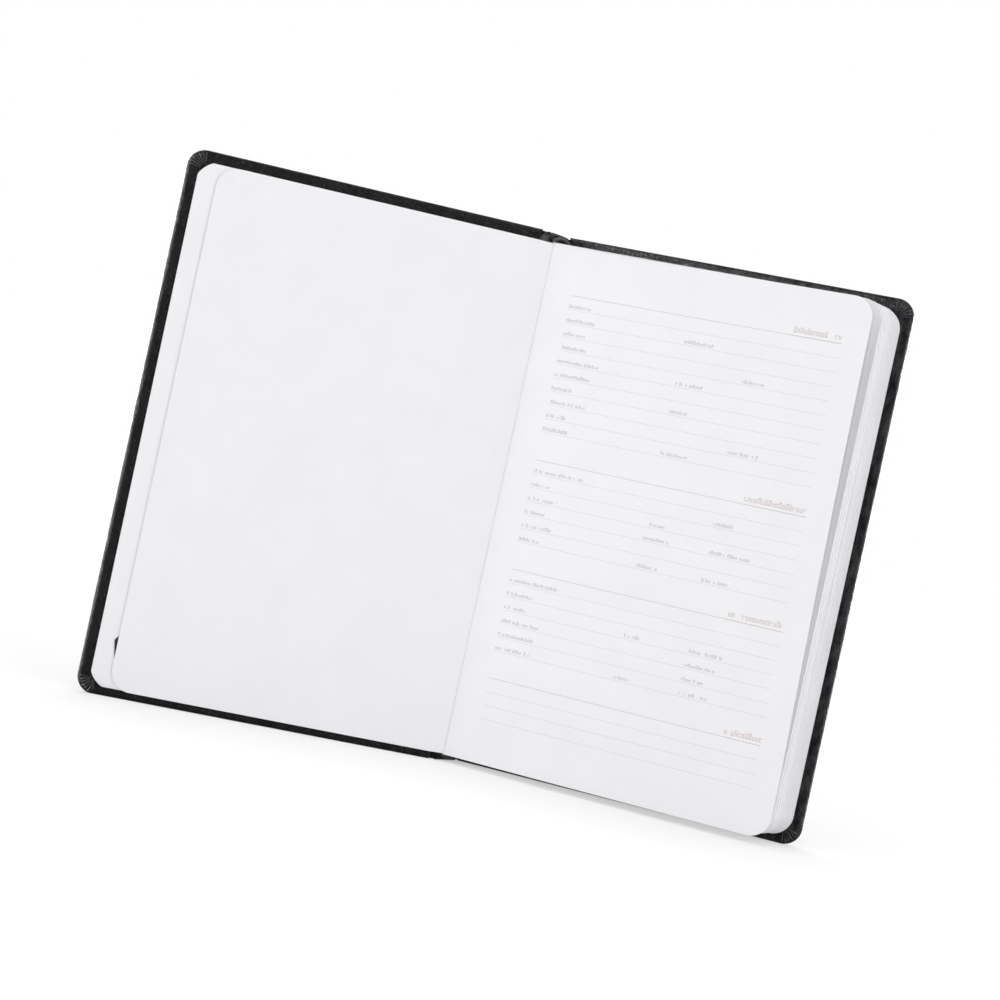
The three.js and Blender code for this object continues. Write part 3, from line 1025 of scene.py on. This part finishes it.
class PLANNER_OT_spine_skin(bpy.types.Operator):
    """Wrap the spine in leatherette, turned in over the head and the foot, and draw the leatherette over
    the joints to the covers
    """

    bl_idname = "planner.spine_skin"
    bl_label = "Spine skin"

    def execute(self, context):
        sizes = context.scene.planner_sizes
        leather = finish_for(context, "leatherette")
        low, high = extent("spine_skin", SPINE)
        thickness = sizes.skin_thickness
        depth = high.z - thickness / 2
        middle = (low.x + high.x) / 2
        section = strip_section(high.x - low.x, thickness, 10, crown=-0.2 * MM)
        half = high.y - thickness / 2
        bm = sweep(section, folded_stations(half, sizes.turn_in_width, depth, depth / 2, middle))
        inverse = SPINE.inverted()
        for vert in bm.verts:
            local = inverse @ vert.co
            narrow = 1 - 0.17 * smooth_step(local.z, 0.2 * MM, depth)
            local.x = middle + (local.x - middle) * narrow
            vert.co = SPINE @ local
        spine = settle(bm, "spine_leather", STAYS, leather, flat_uv=False, sharp=60)
        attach(spine, "spine")
        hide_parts("spine_skin")
        self.hinge_cloths(leather, sizes, high)
        return {"FINISHED"}

    def hinge_cloths(self, leather, sizes, high):
        """The leatherette over each joint, drawn bent round it; at the back one it is drawn as two pieces.
        """
        thickness = sizes.skin_thickness
        half = high.y - 0.15 * MM
        tall = strip_section(2 * half, thickness, 16)
        end = (FRONT_JOINT - BACK_JOINT).length / MM
        front_path = level_points(SPINE, (end - 1.5, 0.02), (end - 0.7, 0.0), (end - 0.25, 0.0))
        front_path += level_points(FRONT, (0.25, 0.0), (0.7, -0.05), (1.3, -0.2))
        front = self.cloth("front_hinge_cloth", tall, front_path, leather)
        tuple(front_path[1])
        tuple(front_path[4])
        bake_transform(front)
        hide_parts("front_joint_skin")
        cover_path = [*level_points(BACK, (1.3, -0.2), (0.7, -0.05), (0.3, 0.0)), BACK_JOINT.copy()]
        outer = self.cloth("back_hinge_cloth", tall, cover_path, leather)
        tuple(cover_path[1])
        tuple(cover_path[3])
        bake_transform(outer)
        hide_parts("back_joint_skin")
        spine_path = [BACK_JOINT.copy(), *level_points(SPINE, (0.3, 0.0), (0.7, 0.0), (1.5, 0.02))]
        inner = self.cloth("back_hinge_cloth_spine", tall, spine_path, leather)
        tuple(spine_path[0])
        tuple(spine_path[2])
        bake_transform(inner)

    def cloth(self, name, section, path, material):
        """A tall strip of leatherette that follows a path seen from above."""
        stations = []
        for index, point in enumerate(path):
            before = path[max(index - 1, 0)]
            after = path[min(index + 1, len(path) - 1)]
            direction = (after - before).normalized()
            stations.append(station(point, UP, direction.cross(UP)))
        bm = sweep(section, stations)
        return settle(bm, name, STAYS, material, flat_uv=False, sharp=60)


def pastedown(name, node, place, body, context):
    """A pastedown that sinks where the turn-ins under it end."""
    sizes = context.scene.planner_sizes
    low, high = extent(node, place)
    sink = sizes.pastedown_sink
    half = high.y + sizes.pastedown_drop / 2
    step = sizes.pastedown_step

    def ring(inset, depth):
        cut = max(sizes.pastedown_corner_cut - inset, 1.5 * MM)
        joint_side = min(inset, 0.4 * MM) + 0.02 * inset
        return (low.x + joint_side, high.x - inset, half - inset, cut, depth)

    rings = [
        ring(step + 1.6 * MM, low.z - sink),
        ring(step + 0.6 * MM, low.z - 0.8 * sink),
        ring(step - 0.4 * MM, low.z),
        ring(0.0, low.z),
        ring(0.0, high.z - 0.04 * MM),
        ring(0.04 * MM, high.z),
        ring(2.0 * MM, high.z),
        ring(step - 0.8 * MM, high.z),
        ring(step, high.z - 0.2 * sink),
        ring(step + 0.8 * MM, high.z - 0.8 * sink),
        ring(step + 1.8 * MM, high.z - sink),
    ]
    bm = loft(rings, PAPER_CORNER_STEPS, profile=0.36)
    bmesh.ops.translate(bm, verts=bm.verts, vec=(0, -sizes.pastedown_drop / 2, 0))
    piece = settle(bm, name, place, finish_for(context, "endpaper"), sharp=50)
    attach(piece, body)
    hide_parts(node)


def flyleaf_level(x, gutter, level):
    """How far a flyleaf stands off its cover's middle: up from the gutter, then flat."""
    return gutter.z + (level - gutter.z) * smooth_step(x, gutter.x, 4 * MM)


def front_gutter():
    """Where the front flyleaf leaves the first leaf, as seen from the front cover."""
    fold = FRONT.inverted() @ joint_point("first_leaf_turn")
    return Vector((fold.x, 0, fold.z + 0.25 * MM))


def bend(bm, shape):
    """Moves each vertex of a flat sheet to where the given function puts it."""
    for vert in bm.verts:
        vert.co = shape(vert.co)


class PLANNER_OT_endpapers(bpy.types.Operator):
    """Paste down the endpapers and lay the flyleaves"""

    bl_idname = "planner.endpapers"
    bl_label = "Endpapers"

    def execute(self, context):
        pastedown("front_pastedown_sheet", "front_pastedown", FRONT, "front_cover", context)
        pastedown("back_pastedown_sheet", "back_pastedown", BACK, "back_cover", context)
        self.front_flyleaf(context)
        self.back_flyleaf(context)
        return {"FINISHED"}

    def flyleaf(self, name, node, place, gutter, lift, context):
        """A flyleaf from its fold in the gutter to its fore-edge, which springs up a little."""
        sizes = context.scene.planner_sizes
        low, high = extent(node, place)
        thickness = high.z - low.z
        level = (low.z + high.z) / 2
        bm = cut_sheet(gutter.x, high.x, high.y, sizes.page_corner_radius, thickness)
        crease(bm, 0, evenly(gutter.x, 8 * MM, 13)[1:])
        crease(bm, 0, evenly(16 * MM, high.x - 16 * MM, 8))
        crease(bm, 0, evenly(high.x - 14 * MM, high.x - 1 * MM, 8))
        crease(bm, 1, evenly(-80 * MM, 80 * MM, 9))

        def shape(co):
            out = flyleaf_level(co.x, gutter, level)
            spring = smooth_step(co.x, high.x - 20 * MM, high.x + 6 * MM)
            wave = 1 + 0.25 * math.sin(co.y / (31 * MM))
            return Vector((co.x, co.y - sizes.paper_settle, out + co.z + lift * spring * wave))

        bend(bm, shape)
        return settle(bm, name, place, finish_for(context, "endpaper"), sharp=60)

    def front_flyleaf(self, context):
        sizes = context.scene.planner_sizes
        gutter = front_gutter()
        piece = self.flyleaf(
            "front_flyleaf_sheet", "front_flyleaf", FRONT, gutter, sizes.flyleaf_lift, context
        )
        ends = (FRONT @ gutter, *level_points(FRONT, (7, 2.2)))
        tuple(ends[0])
        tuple(ends[1])
        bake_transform(piece)
        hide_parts("front_flyleaf")

    def back_flyleaf(self, context):
        fold = BACK.inverted() @ joint_point("section_01_turn")
        gutter = Vector((fold.x, 0, fold.z - 0.45 * MM))
        piece = self.flyleaf("back_flyleaf_sheet", "back_flyleaf", BACK, gutter, 0.0, context)
        ends = (*level_points(BACK, (3.4, 1.95)), BACK @ gutter)
        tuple(ends[0])
        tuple(ends[1])
        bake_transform(piece)
        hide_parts("back_flyleaf")


# How much of the room that a sheet has in its section is filled by it
SHEET_SHARE = 0.86


def folded_sheet(number, count, section, sizes):
    """One sheet of a section, cut flat and folded round the sheets inside it."""
    low, high = section
    pitch = (high.z - low.z) / (2 * count)
    radius = (number + 0.5) * pitch
    fold = high.z
    reach = high.x - fold
    quarter = math.pi * radius / 2
    end = reach + quarter
    thickness = pitch * SHEET_SHARE
    bm = cut_sheet(-end, end, high.y, sizes.page_corner_radius, thickness, steps=8, both_ends=True)
    turns = evenly(-quarter, quarter, 7)
    outward = [quarter + distance * MM for distance in (4, 14, 36, 66, 96, 118)]
    crease(bm, 0, turns + outward + [-value for value in outward])
    crease(bm, 1, [-62 * MM, -21 * MM, 21 * MM, 62 * MM])

    def shape(co):
        if abs(co.x) <= quarter:
            angle = co.x / radius
            out = radius + co.z
            return Vector((fold - out * math.cos(angle), co.y, out * math.sin(angle)))
        side = math.copysign(1, co.x)
        along = abs(co.x) - quarter
        return Vector((fold + along, co.y, side * (radius + co.z)))

    bend(bm, shape)
    return bm


# How far single sheets are off their places at the fore-edge: out and up in millimetres, and in spread
SHEET_SHIFT = 0.06
SHEET_RISE = 0.05
SHEET_SPREAD = 0.025


class PLANNER_OT_text_block(bpy.types.Operator):
    """Fold and gather the sections of the text block"""

    bl_idname = "planner.text_block"
    bl_label = "Text block"

    def execute(self, context):
        sizes = context.scene.planner_sizes
        dice = random.Random(21)
        count = sizes.sheets_per_section
        first_extent = extent(SECTION_NAMES[0], hinged_place(SECTION_NAMES[0]))
        sheets = []
        for number in range(count):
            bm = folded_sheet(number, count, first_extent, sizes)
            mesh = bpy.data.meshes.new("sheet")
            bm.to_mesh(mesh)
            bm.free()
            sheets.append(mesh)
        for name in SECTION_NAMES:
            self.section(name, sheets, first_extent, dice, context)
        for mesh in sheets:
            bpy.data.meshes.remove(mesh)
        return {"FINISHED"}

    def section(self, name, sheets, section, dice, context):
        """One section: its sheets, spread a little towards the fore-edge as they stand."""
        sizes = context.scene.planner_sizes
        place = hinged_place(name)
        closed = section[1].z - section[0].z
        width = section[1].x
        bm = bmesh.new()
        for sheet in sheets:
            first = len(bm.verts)
            bm.from_mesh(sheet)
            bm.verts.ensure_lookup_table()
            shift = [dice.uniform(-SHEET_SHIFT, SHEET_SHIFT) * MM for half in range(2)]
            spread = dice.uniform(-SHEET_SPREAD, SHEET_SPREAD)
            rise = dice.uniform(-SHEET_RISE, SHEET_RISE)
            for vert in bm.verts[first:]:
                share = vert.co.x / width
                grown = 1 + (sizes.section_spread / closed - 1) * max(share, 0) ** 1.15
                wave = 0.05 * MM * share * math.sin(vert.co.y / (27 * MM) + rise * 40)
                vert.co.z = vert.co.z * (grown + spread * share) + wave
                vert.co.x += shift[0 if vert.co.z > 0 else 1] * share
                vert.co.x += sizes.section_growth * max(share, 0)
                vert.co.y += rise * MM * share - 0.3 * sizes.paper_settle
        piece = settle(bm, name + "_leaves", place, finish_for(context, "paper"), sharp=50)
        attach(piece, name)
        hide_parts(name)
        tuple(place.translation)
        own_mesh(piece)


# The lift of the first leaf's fore-edge, in millimetres, is a curve of the height on the page, counted
# from its middle in steps of TWIST_HEIGHT; it goes no lower than TWIST_LOWEST. The leaf sags between.
TWIST_HEIGHT = 85 * MM
TWIST = (-0.1, 5.4, -1.36)
TWIST_LOWEST = -6.3
LEAF_SAG = 0.4 * MM


class PLANNER_OT_first_leaf(bpy.types.Operator):
    """Lay the first printed leaf and the leaf under it, lifted at the head as the planner stands open"""

    bl_idname = "planner.first_leaf"
    bl_label = "First leaf"

    def execute(self, context):
        first = hinged_place("first_leaf")
        materials = [finish_for(context, "paper"), finish_for(context, "printed")]
        raised = {"settled": 1.6, "eased": 1.0, "stands": 0.0}
        piece = self.leaf("first_printed_leaf", "first_leaf", first, raised, materials, context)
        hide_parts("first_leaf")
        under = hinged_place("section_11")
        thickness = extent("section_11", under)[1].z
        under.translation += under.to_3x3() @ Vector((0, 0, thickness - 0.04 * MM))
        near = first.inverted() @ under
        gap = -near.translation.z - page_sizes()["width"] * near.to_3x3().col[0].z
        halfway = {"settled": 1.1, "eased": 0.55, "stands": gap * 0.55}
        self.leaf("second_leaf", "section_11", under, halfway, materials[:1], context)
        return {"FINISHED"}

    def leaf(self, name, body, place, pose, materials, context):
        """A twisted leaf, with its pose: settled, its share of the twist, and how far its edge stands."""
        sizes = context.scene.planner_sizes
        page = page_sizes()
        width = page["width"]
        bm = cut_sheet(0, width, page["half_height"], sizes.page_corner_radius, page["thickness"] * 0.8)
        crease(bm, 0, evenly(1 * MM, 9 * MM, 5) + evenly(18 * MM, width - 9 * MM, 12))
        crease(bm, 1, evenly(-88 * MM, 88 * MM, 17))
        uv = bm.loops.layers.uv.new("Flat")
        for face in bm.faces:
            face.material_index = len(materials) - 1 if face.normal.z > 0.9 else 0
            for loop in face.loops:
                loop[uv].uv = loop.vert.co.xy / MM

        def shape(co):
            share = co.x / width
            level = co.y / TWIST_HEIGHT
            twist = TWIST[0] + TWIST[1] * level + TWIST[2] * level * level
            lift = pose["eased"] * max(twist, TWIST_LOWEST) * MM
            out = lift * share**1.7 - LEAF_SAG * math.sin(math.pi * share) * pose["eased"]
            out += pose["stands"] * share
            if pose["stands"]:
                out = max(out, 0.0)
            return Vector((co.x, co.y - pose["settled"] * sizes.paper_settle, co.z + out))

        bend(bm, shape)
        piece = place_mesh(bm, name, place, materials, sharp=50)
        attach(piece, body)
        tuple(place.translation)
        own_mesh(piece)
        return piece


BAND_RIBS = 24


def band(node, context):
    """A woven band over the ends of the folds: a ribbed roll and the cloth that glues it down."""
    sizes = context.scene.planner_sizes
    low, high = extent(node, SPINE)
    at_head = high.y > 0
    roll_radius = (high.z - low.z) / 2
    end = 1 if at_head else -1
    roll_level = (high.y - roll_radius) if at_head else (low.y + roll_radius)
    out = low.z + roll_radius
    stations = []
    for step in range(BAND_RIBS * 4 + 1):
        share = step / (BAND_RIBS * 4)
        rib = 0.90 + 0.10 * math.sin(math.pi * (share * BAND_RIBS % 1)) ** 0.7
        arch = sizes.band_arch * (1 - (2 * share - 1) ** 2) * end
        at = on_spine(low.x + (high.x - low.x) * share, roll_level + arch, out)
        stations.append(station(at, SPINE_UP, SPINE_OUT, scale=rib))
    bm = sweep(ring_section(roll_radius, 12), stations)
    inner = low.y if at_head else high.y
    cloth = strip_section(high.x - low.x - 0.1 * MM, 0.14 * MM, 2)
    middle = (low.x + high.x) / 2
    places = [on_spine(middle, level, low.z + 0.08 * MM) for level in evenly(inner, roll_level, 5)]
    sweep(cloth, [station(place, SPINE_ALONG, SPINE_OUT) for place in places], bm)
    woven = finish_for(context, "band")
    piece = settle(bm, node + "_woven", STAYS, woven, flat_uv=False, sharp=70)
    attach(piece, "spine")
    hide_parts(node)


class PLANNER_OT_bands(bpy.types.Operator):
    """Put the head and tail bands over the ends of the folds"""

    bl_idname = "planner.bands"
    bl_label = "Head and tail bands"

    def execute(self, context):
        band("head_band", context)
        band("tail_band", context)
        return {"FINISHED"}


# The ribbon's way over the head: along the spine, up and out in millimetres, turn in degrees, and scale
RIBBON_TURN = (
    (8.4, 93.0, 1.82, 0, 1.0),
    (9.4, 97.0, 1.82, 0, 1.0),
    (10.2, 100.0, 1.84, 0, 1.0),
    (10.7, 101.3, 1.90, 15, 0.95),
    (11.3, 102.1, 2.00, 42, 0.85),
    (12.2, 102.6, 2.05, 72, 0.75),
    (13.3, 102.7, 2.00, 100, 0.72),
    (14.3, 102.3, 1.85, 128, 0.80),
    (15.0, 101.6, 1.65, 152, 0.90),
)


class PLANNER_OT_ribbon(bpy.types.Operator):
    """Lay the ribbon marker from its anchor on the spine, over the head and under the flyleaf"""

    bl_idname = "planner.ribbon"
    bl_label = "Ribbon marker"

    def execute(self, context):
        low, high = extent("ribbon_anchor", SPINE)
        width = high.x - low.x
        inverse = FRONT.inverted()
        corners = [inverse @ vertex.co for vertex in frame["nodes"]["ribbon_marker"].data.vertices]
        level = sum(co.z for co in corners) / len(corners)
        heads = [co for co in corners if co.x < 60 * MM]
        head = sum(heads, Vector()) / len(heads)
        upper = max(corners, key=lambda co: co.x)
        lower = min(corners, key=lambda co: co.y)
        upper.z = lower.z = level
        stations = self.over_the_head(low, high)
        stations += self.under_the_flyleaf(head, (upper + lower) / 2)
        edge = FRONT.to_3x3() @ (lower - upper)
        stations.append(
            station(FRONT @ ((upper + lower) / 2), edge, stations[-1].col[1].xyz, edge.length / width)
        )
        bm = sweep(strip_section(width, high.z - low.z, 4), stations)
        self.tuck(bm)
        satin = finish_for(context, "ribbon")
        piece = settle(bm, "ribbon_strip", STAYS, satin, flat_uv=False, sharp=60)
        ends = level_points(FRONT, (-3.5, 0.8), (6, 2))
        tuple(ends[0])
        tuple(ends[1])
        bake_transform(piece)
        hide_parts("ribbon_marker", "ribbon_anchor")
        return {"FINISHED"}

    def over_the_head(self, low, high):
        """Up the spine behind the head band, then twisted over towards the gutter."""
        turn = SPINE.to_3x3()
        glued = (low.z + high.z) / 2
        middle = (low.x + high.x) / 2
        path = [(middle, low.y, glued, 0, 1.0), (middle, low.y + 14 * MM, glued, 0, 1.0)]
        path += [(*(value * MM for value in item[:3]), *item[3:]) for item in RIBBON_TURN]
        points = [SPINE @ Vector(item[:3]) for item in path]
        stations = []
        for index, item in enumerate(path):
            angle = math.radians(item[3])
            across = turn @ Vector((math.cos(angle), 0, math.sin(angle)))
            before = points[max(index - 1, 0)]
            direction = points[min(index + 1, len(points) - 1)] - before
            across -= direction * across.dot(direction) / direction.length_squared
            stations.append(station(points[index], across, direction.cross(across), scale=item[4]))
        return stations

    def under_the_flyleaf(self, head, tip):
        """Down between the pastedown and the flyleaf, straight to the slanted end."""
        slope = tip - head
        turn = FRONT.to_3x3()
        across = turn @ Vector((slope.y, -slope.x, 0)).normalized()
        out = (turn @ slope).cross(across)
        stations = []
        for share in [-0.036, -0.026, -0.014, *evenly(0.0, 0.98, 30)]:
            stations.append(station(FRONT @ (head + slope * share), across, out))
        return stations

    def tuck(self, bm):
        """Presses the ribbon down towards the gutter, so that it stays under the flyleaf."""
        low, high = extent("front_flyleaf", FRONT)
        leaf_level = (low.z + high.z) / 2
        gutter = front_gutter()
        inverse = FRONT.inverted()
        for vert in bm.verts:
            local = inverse @ vert.co
            depth = leaf_level - flyleaf_level(local.x, gutter, leaf_level)
            beside_spine = smooth_step(local.x, -7 * MM, -4 * MM)
            over_head = smooth_step(local.y, 101 * MM, 103.5 * MM)
            local.z -= depth * (beside_spine * (1 - over_head))
            vert.co = FRONT @ local


class PLANNER_OT_linings(bpy.types.Operator):
    """Finish the boards and the linings of the spine, and sew the sections"""

    bl_idname = "planner.linings"
    bl_label = "Boards and linings"

    def execute(self, context):
        plain = {
            "card": ("front_board", "back_board"),
            "spine_card": ("spine_stiffener",),
            "kraft": ("spine_liner",),
            "gauze": ("spine_gauze", "front_gauze_flange", "back_gauze_flange"),
            "glue": ("spine_glue",),
        }
        for finish, nodes in plain.items():
            for node in nodes:
                frame["nodes"][node].data.materials.clear()
                frame["nodes"][node].data.materials.append(finish_for(context, finish))
        for node in sorted(frame["nodes"]):
            if node.startswith("sewing_thread_"):
                self.stitches(node, context)
        return {"FINISHED"}

    def stitches(self, node, context):
        """One row of stitches: two twisted strands that dip to each fold and rise between them."""
        low, high = extent(node, SPINE)
        radius = (high.z - low.z) / 2
        level = (low.y + high.y) / 2
        out = (low.z + high.z) / 2
        count = len(SECTION_NAMES)
        steps = count * 10
        curve = bpy.data.curves.new(node, "CURVE")
        curve.dimensions = "3D"
        curve.bevel_depth = radius * 0.5
        curve.bevel_resolution = 1
        curve.use_fill_caps = True
        for strand in (0, math.pi):
            spline = curve.splines.new("POLY")
            spline.points.add(steps)
            for index, point in enumerate(spline.points):
                share = index / steps
                twist = strand + share * count * 1.5 * math.pi
                dip = 0.25 * radius * math.cos(2 * math.pi * share * count)
                swing = 1.6 * radius * math.sin(math.pi * share * count)
                at = on_spine(
                    low.x + (high.x - low.x) * share,
                    level + swing + 0.45 * radius * math.cos(twist),
                    out + dip + 0.45 * radius * math.sin(twist),
                )
                point.co = (*at, 1)
        drawn = bpy.data.objects.new(node + "_drawn", curve)
        bpy.context.scene.collection.objects.link(drawn)
        bpy.context.view_layer.update()
        mesh = bpy.data.meshes.new_from_object(drawn)
        bpy.data.objects.remove(drawn)
        mesh.materials.clear()
        mesh.materials.append(finish_for(context, "thread"))
        piece = bpy.data.objects.new(node.replace("thread", "stitches"), mesh)
        bpy.context.scene.collection.objects.link(piece)
        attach(piece, "spine")
        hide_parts(node)


def seen_white(tree):
    """1 for rays that show the background: from the camera, in gloss or through glass."""
    path = tree.add("ShaderNodeLightPath").outputs
    glossy = tree.math("MAXIMUM", path["Is Camera Ray"], path["Is Glossy Ray"])
    return tree.math("MAXIMUM", glossy, path["Is Transmission Ray"])


# The floor's colour; the light of floor and world, first as it falls on things and then as it is seen
FLOOR_COLOUR = (0.48, 0.48, 0.482, 1)
FLOOR_GLOW = (0.31, 0.45)
WORLD_LIGHT = (0.90, 1.0)

# The lamps: place and size in metres, power in watts. The second group shows only as gloss.
SOFT_LAMPS = {
    "key_light": ((-0.4, -1.6, 0.5), 1.0, 3.4),
    "fore_edge_light": ((1.5, -0.75, 0.35), 0.7, 3.0),
}
GLOSS_LAMPS = {
    "left_gloss": ((-1.45, -0.6, 0.25), 0.7, 230.0),
    "front_gloss": ((-0.4, -1.4, 0.12), 0.7, 5.0),
    "right_gloss": ((1.5, -0.5, 0.3), 0.7, 55.0),
    "top_gloss": ((0.6, -0.85, 1.5), 0.7, 12.0),
    "back_gloss": ((1.2, 1.2, 0.2), 0.7, 80.0),
    "far_gloss": ((-1.2, 1.2, 0.2), 0.7, 80.0),
}
LAMP_TARGET = Vector((0, 0, 0.1))
SUN_DIRECTION = Vector((0, -0.24, -1))
SUN_ANGLE = math.radians(30)
SUN_ENERGY = 0.9


class PLANNER_OT_stage(bpy.types.Operator):
    """Set the camera, the pale floor and the soft studio light"""

    bl_idname = "planner.stage"
    bl_label = "Stage"

    def execute(self, context):
        self.camera(context)
        self.floor()
        self.world(context)
        for name, lamp in SOFT_LAMPS.items():
            self.lamp(name, *lamp)
        self.sun()
        for name, lamp in GLOSS_LAMPS.items():
            self.lamp(name, *lamp).visible_diffuse = False
        context.scene.view_settings.view_transform = "Standard"
        return {"FINISHED"}

    def camera(self, context):
        level = math.cos(CAMERA_PITCH)
        forward = Vector(
            (math.sin(CAMERA_YAW) * level, math.cos(CAMERA_YAW) * level, math.sin(CAMERA_PITCH))
        )
        right = forward.cross(UP).normalized()
        above = right.cross(forward)
        across = right * math.cos(CAMERA_ROLL) + above * math.sin(CAMERA_ROLL)
        upright = above * math.cos(CAMERA_ROLL) - right * math.sin(CAMERA_ROLL)
        data = bpy.data.cameras.new("camera")
        data.sensor_width = SENSOR_WIDTH
        data.lens = FOCAL_PIXELS * SENSOR_WIDTH / PICTURE_WIDTH
        data.clip_start = 0.01
        data.clip_end = 50
        camera = bpy.data.objects.new("camera", data)
        context.scene.collection.objects.link(camera)
        place = Matrix((across, upright, -forward)).transposed().to_4x4()
        place.translation = CAMERA_PLACE
        camera.matrix_world = place
        context.scene.camera = camera

    def floor(self):
        bm = bmesh.new()
        bmesh.ops.create_grid(bm, x_segments=2, y_segments=2, size=6.0)
        material = bpy.data.materials.new("studio_floor")
        material.use_nodes = True
        tree = Tree(material.node_tree)
        shader = material.node_tree.nodes["Principled BSDF"]
        shader.inputs["Base Color"].default_value = FLOOR_COLOUR
        shader.inputs["Roughness"].default_value = 0.9
        shader.inputs["Specular IOR Level"].default_value = 0.0
        strength = tree.ranged(seen_white(tree), 0.0, 1.0, *FLOOR_GLOW)
        glow = tree.add("ShaderNodeEmission", {"Strength": strength})
        both = tree.add("ShaderNodeAddShader", {0: shader.outputs[0], 1: glow.outputs[0]})
        tree.feed(material.node_tree.nodes["Material Output"].inputs["Surface"], both.outputs[0])
        floor = place_mesh(bm, "studio_floor", STAYS, material)

    def world(self, context):
        world = bpy.data.worlds.new("studio")
        world.use_nodes = True
        context.scene.world = world
        tree = Tree(world.node_tree)
        background = world.node_tree.nodes["Background"]
        background.inputs["Color"].default_value = (1, 1, 1, 1)
        strength = tree.ranged(seen_white(tree), 0.0, 1.0, *WORLD_LIGHT)
        tree.feed(background.inputs["Strength"], strength)

    def sun(self):
        """A wide, steep light from behind, for the soft shadow in front of the foot."""
        data = bpy.data.lights.new("top_light", "SUN")
        data.energy = SUN_ENERGY
        data.angle = SUN_ANGLE
        lamp = bpy.data.objects.new("top_light", data)
        bpy.context.scene.collection.objects.link(lamp)
        lamp.rotation_euler = SUN_DIRECTION.to_track_quat("-Z", "Y").to_euler()
        lamp.visible_glossy = False

    def lamp(self, name, place, size, power):
        data = bpy.data.lights.new(name, "AREA")
        data.shape = "DISK"
        data.size = size
        data.energy = power
        lamp = bpy.data.objects.new(name, data)
        bpy.context.scene.collection.objects.link(lamp)
        lamp.location = place
        lamp.rotation_euler = (LAMP_TARGET - lamp.location).to_track_quat("-Z", "Y").to_euler()
        return lamp


OPERATORS = (
    PLANNER_OT_stage,
    PLANNER_OT_cover_skins,
    PLANNER_OT_spine_skin,
    PLANNER_OT_endpapers,
    PLANNER_OT_text_block,
    PLANNER_OT_first_leaf,
    PLANNER_OT_bands,
    PLANNER_OT_ribbon,
    PLANNER_OT_linings,
)


class PLANNER_PT_panel(bpy.types.Panel):
    """Sizes, colours and pieces of the planner"""

    bl_label = "Daily planner"
    bl_space_type = "VIEW_3D"
    bl_region_type = "UI"
    bl_category = "Planner"

    def draw(self, context):
        for group in (context.scene.planner_sizes, context.scene.planner_colours):
            box = self.layout.box()
            for name in group.bl_rna.properties.keys():
                if name not in ("rna_type", "name"):
                    box.prop(group, name)
        for operator in OPERATORS:
            self.layout.operator(operator.bl_idname)


CLASSES = (PlannerSizes, PlannerColours, *OPERATORS, PLANNER_PT_panel)


def register():
    for item in CLASSES:
        bpy.utils.register_class(item)
    bpy.types.Scene.planner_sizes = PointerProperty(type=PlannerSizes)
    bpy.types.Scene.planner_colours = PointerProperty(type=PlannerColours)


def unregister():
    del bpy.types.Scene.planner_colours
    del bpy.types.Scene.planner_sizes
    for item in reversed(CLASSES):
        bpy.utils.unregister_class(item)


def main():
    register()
    bpy.ops.planner.stage()
    bpy.ops.planner.cover_skins()
    bpy.ops.planner.spine_skin()
    bpy.ops.planner.endpapers()
    bpy.ops.planner.text_block()
    bpy.ops.planner.first_leaf()
    bpy.ops.planner.bands()
    bpy.ops.planner.ribbon()
    bpy.ops.planner.linings()


if __name__ == "__main__":
    main()
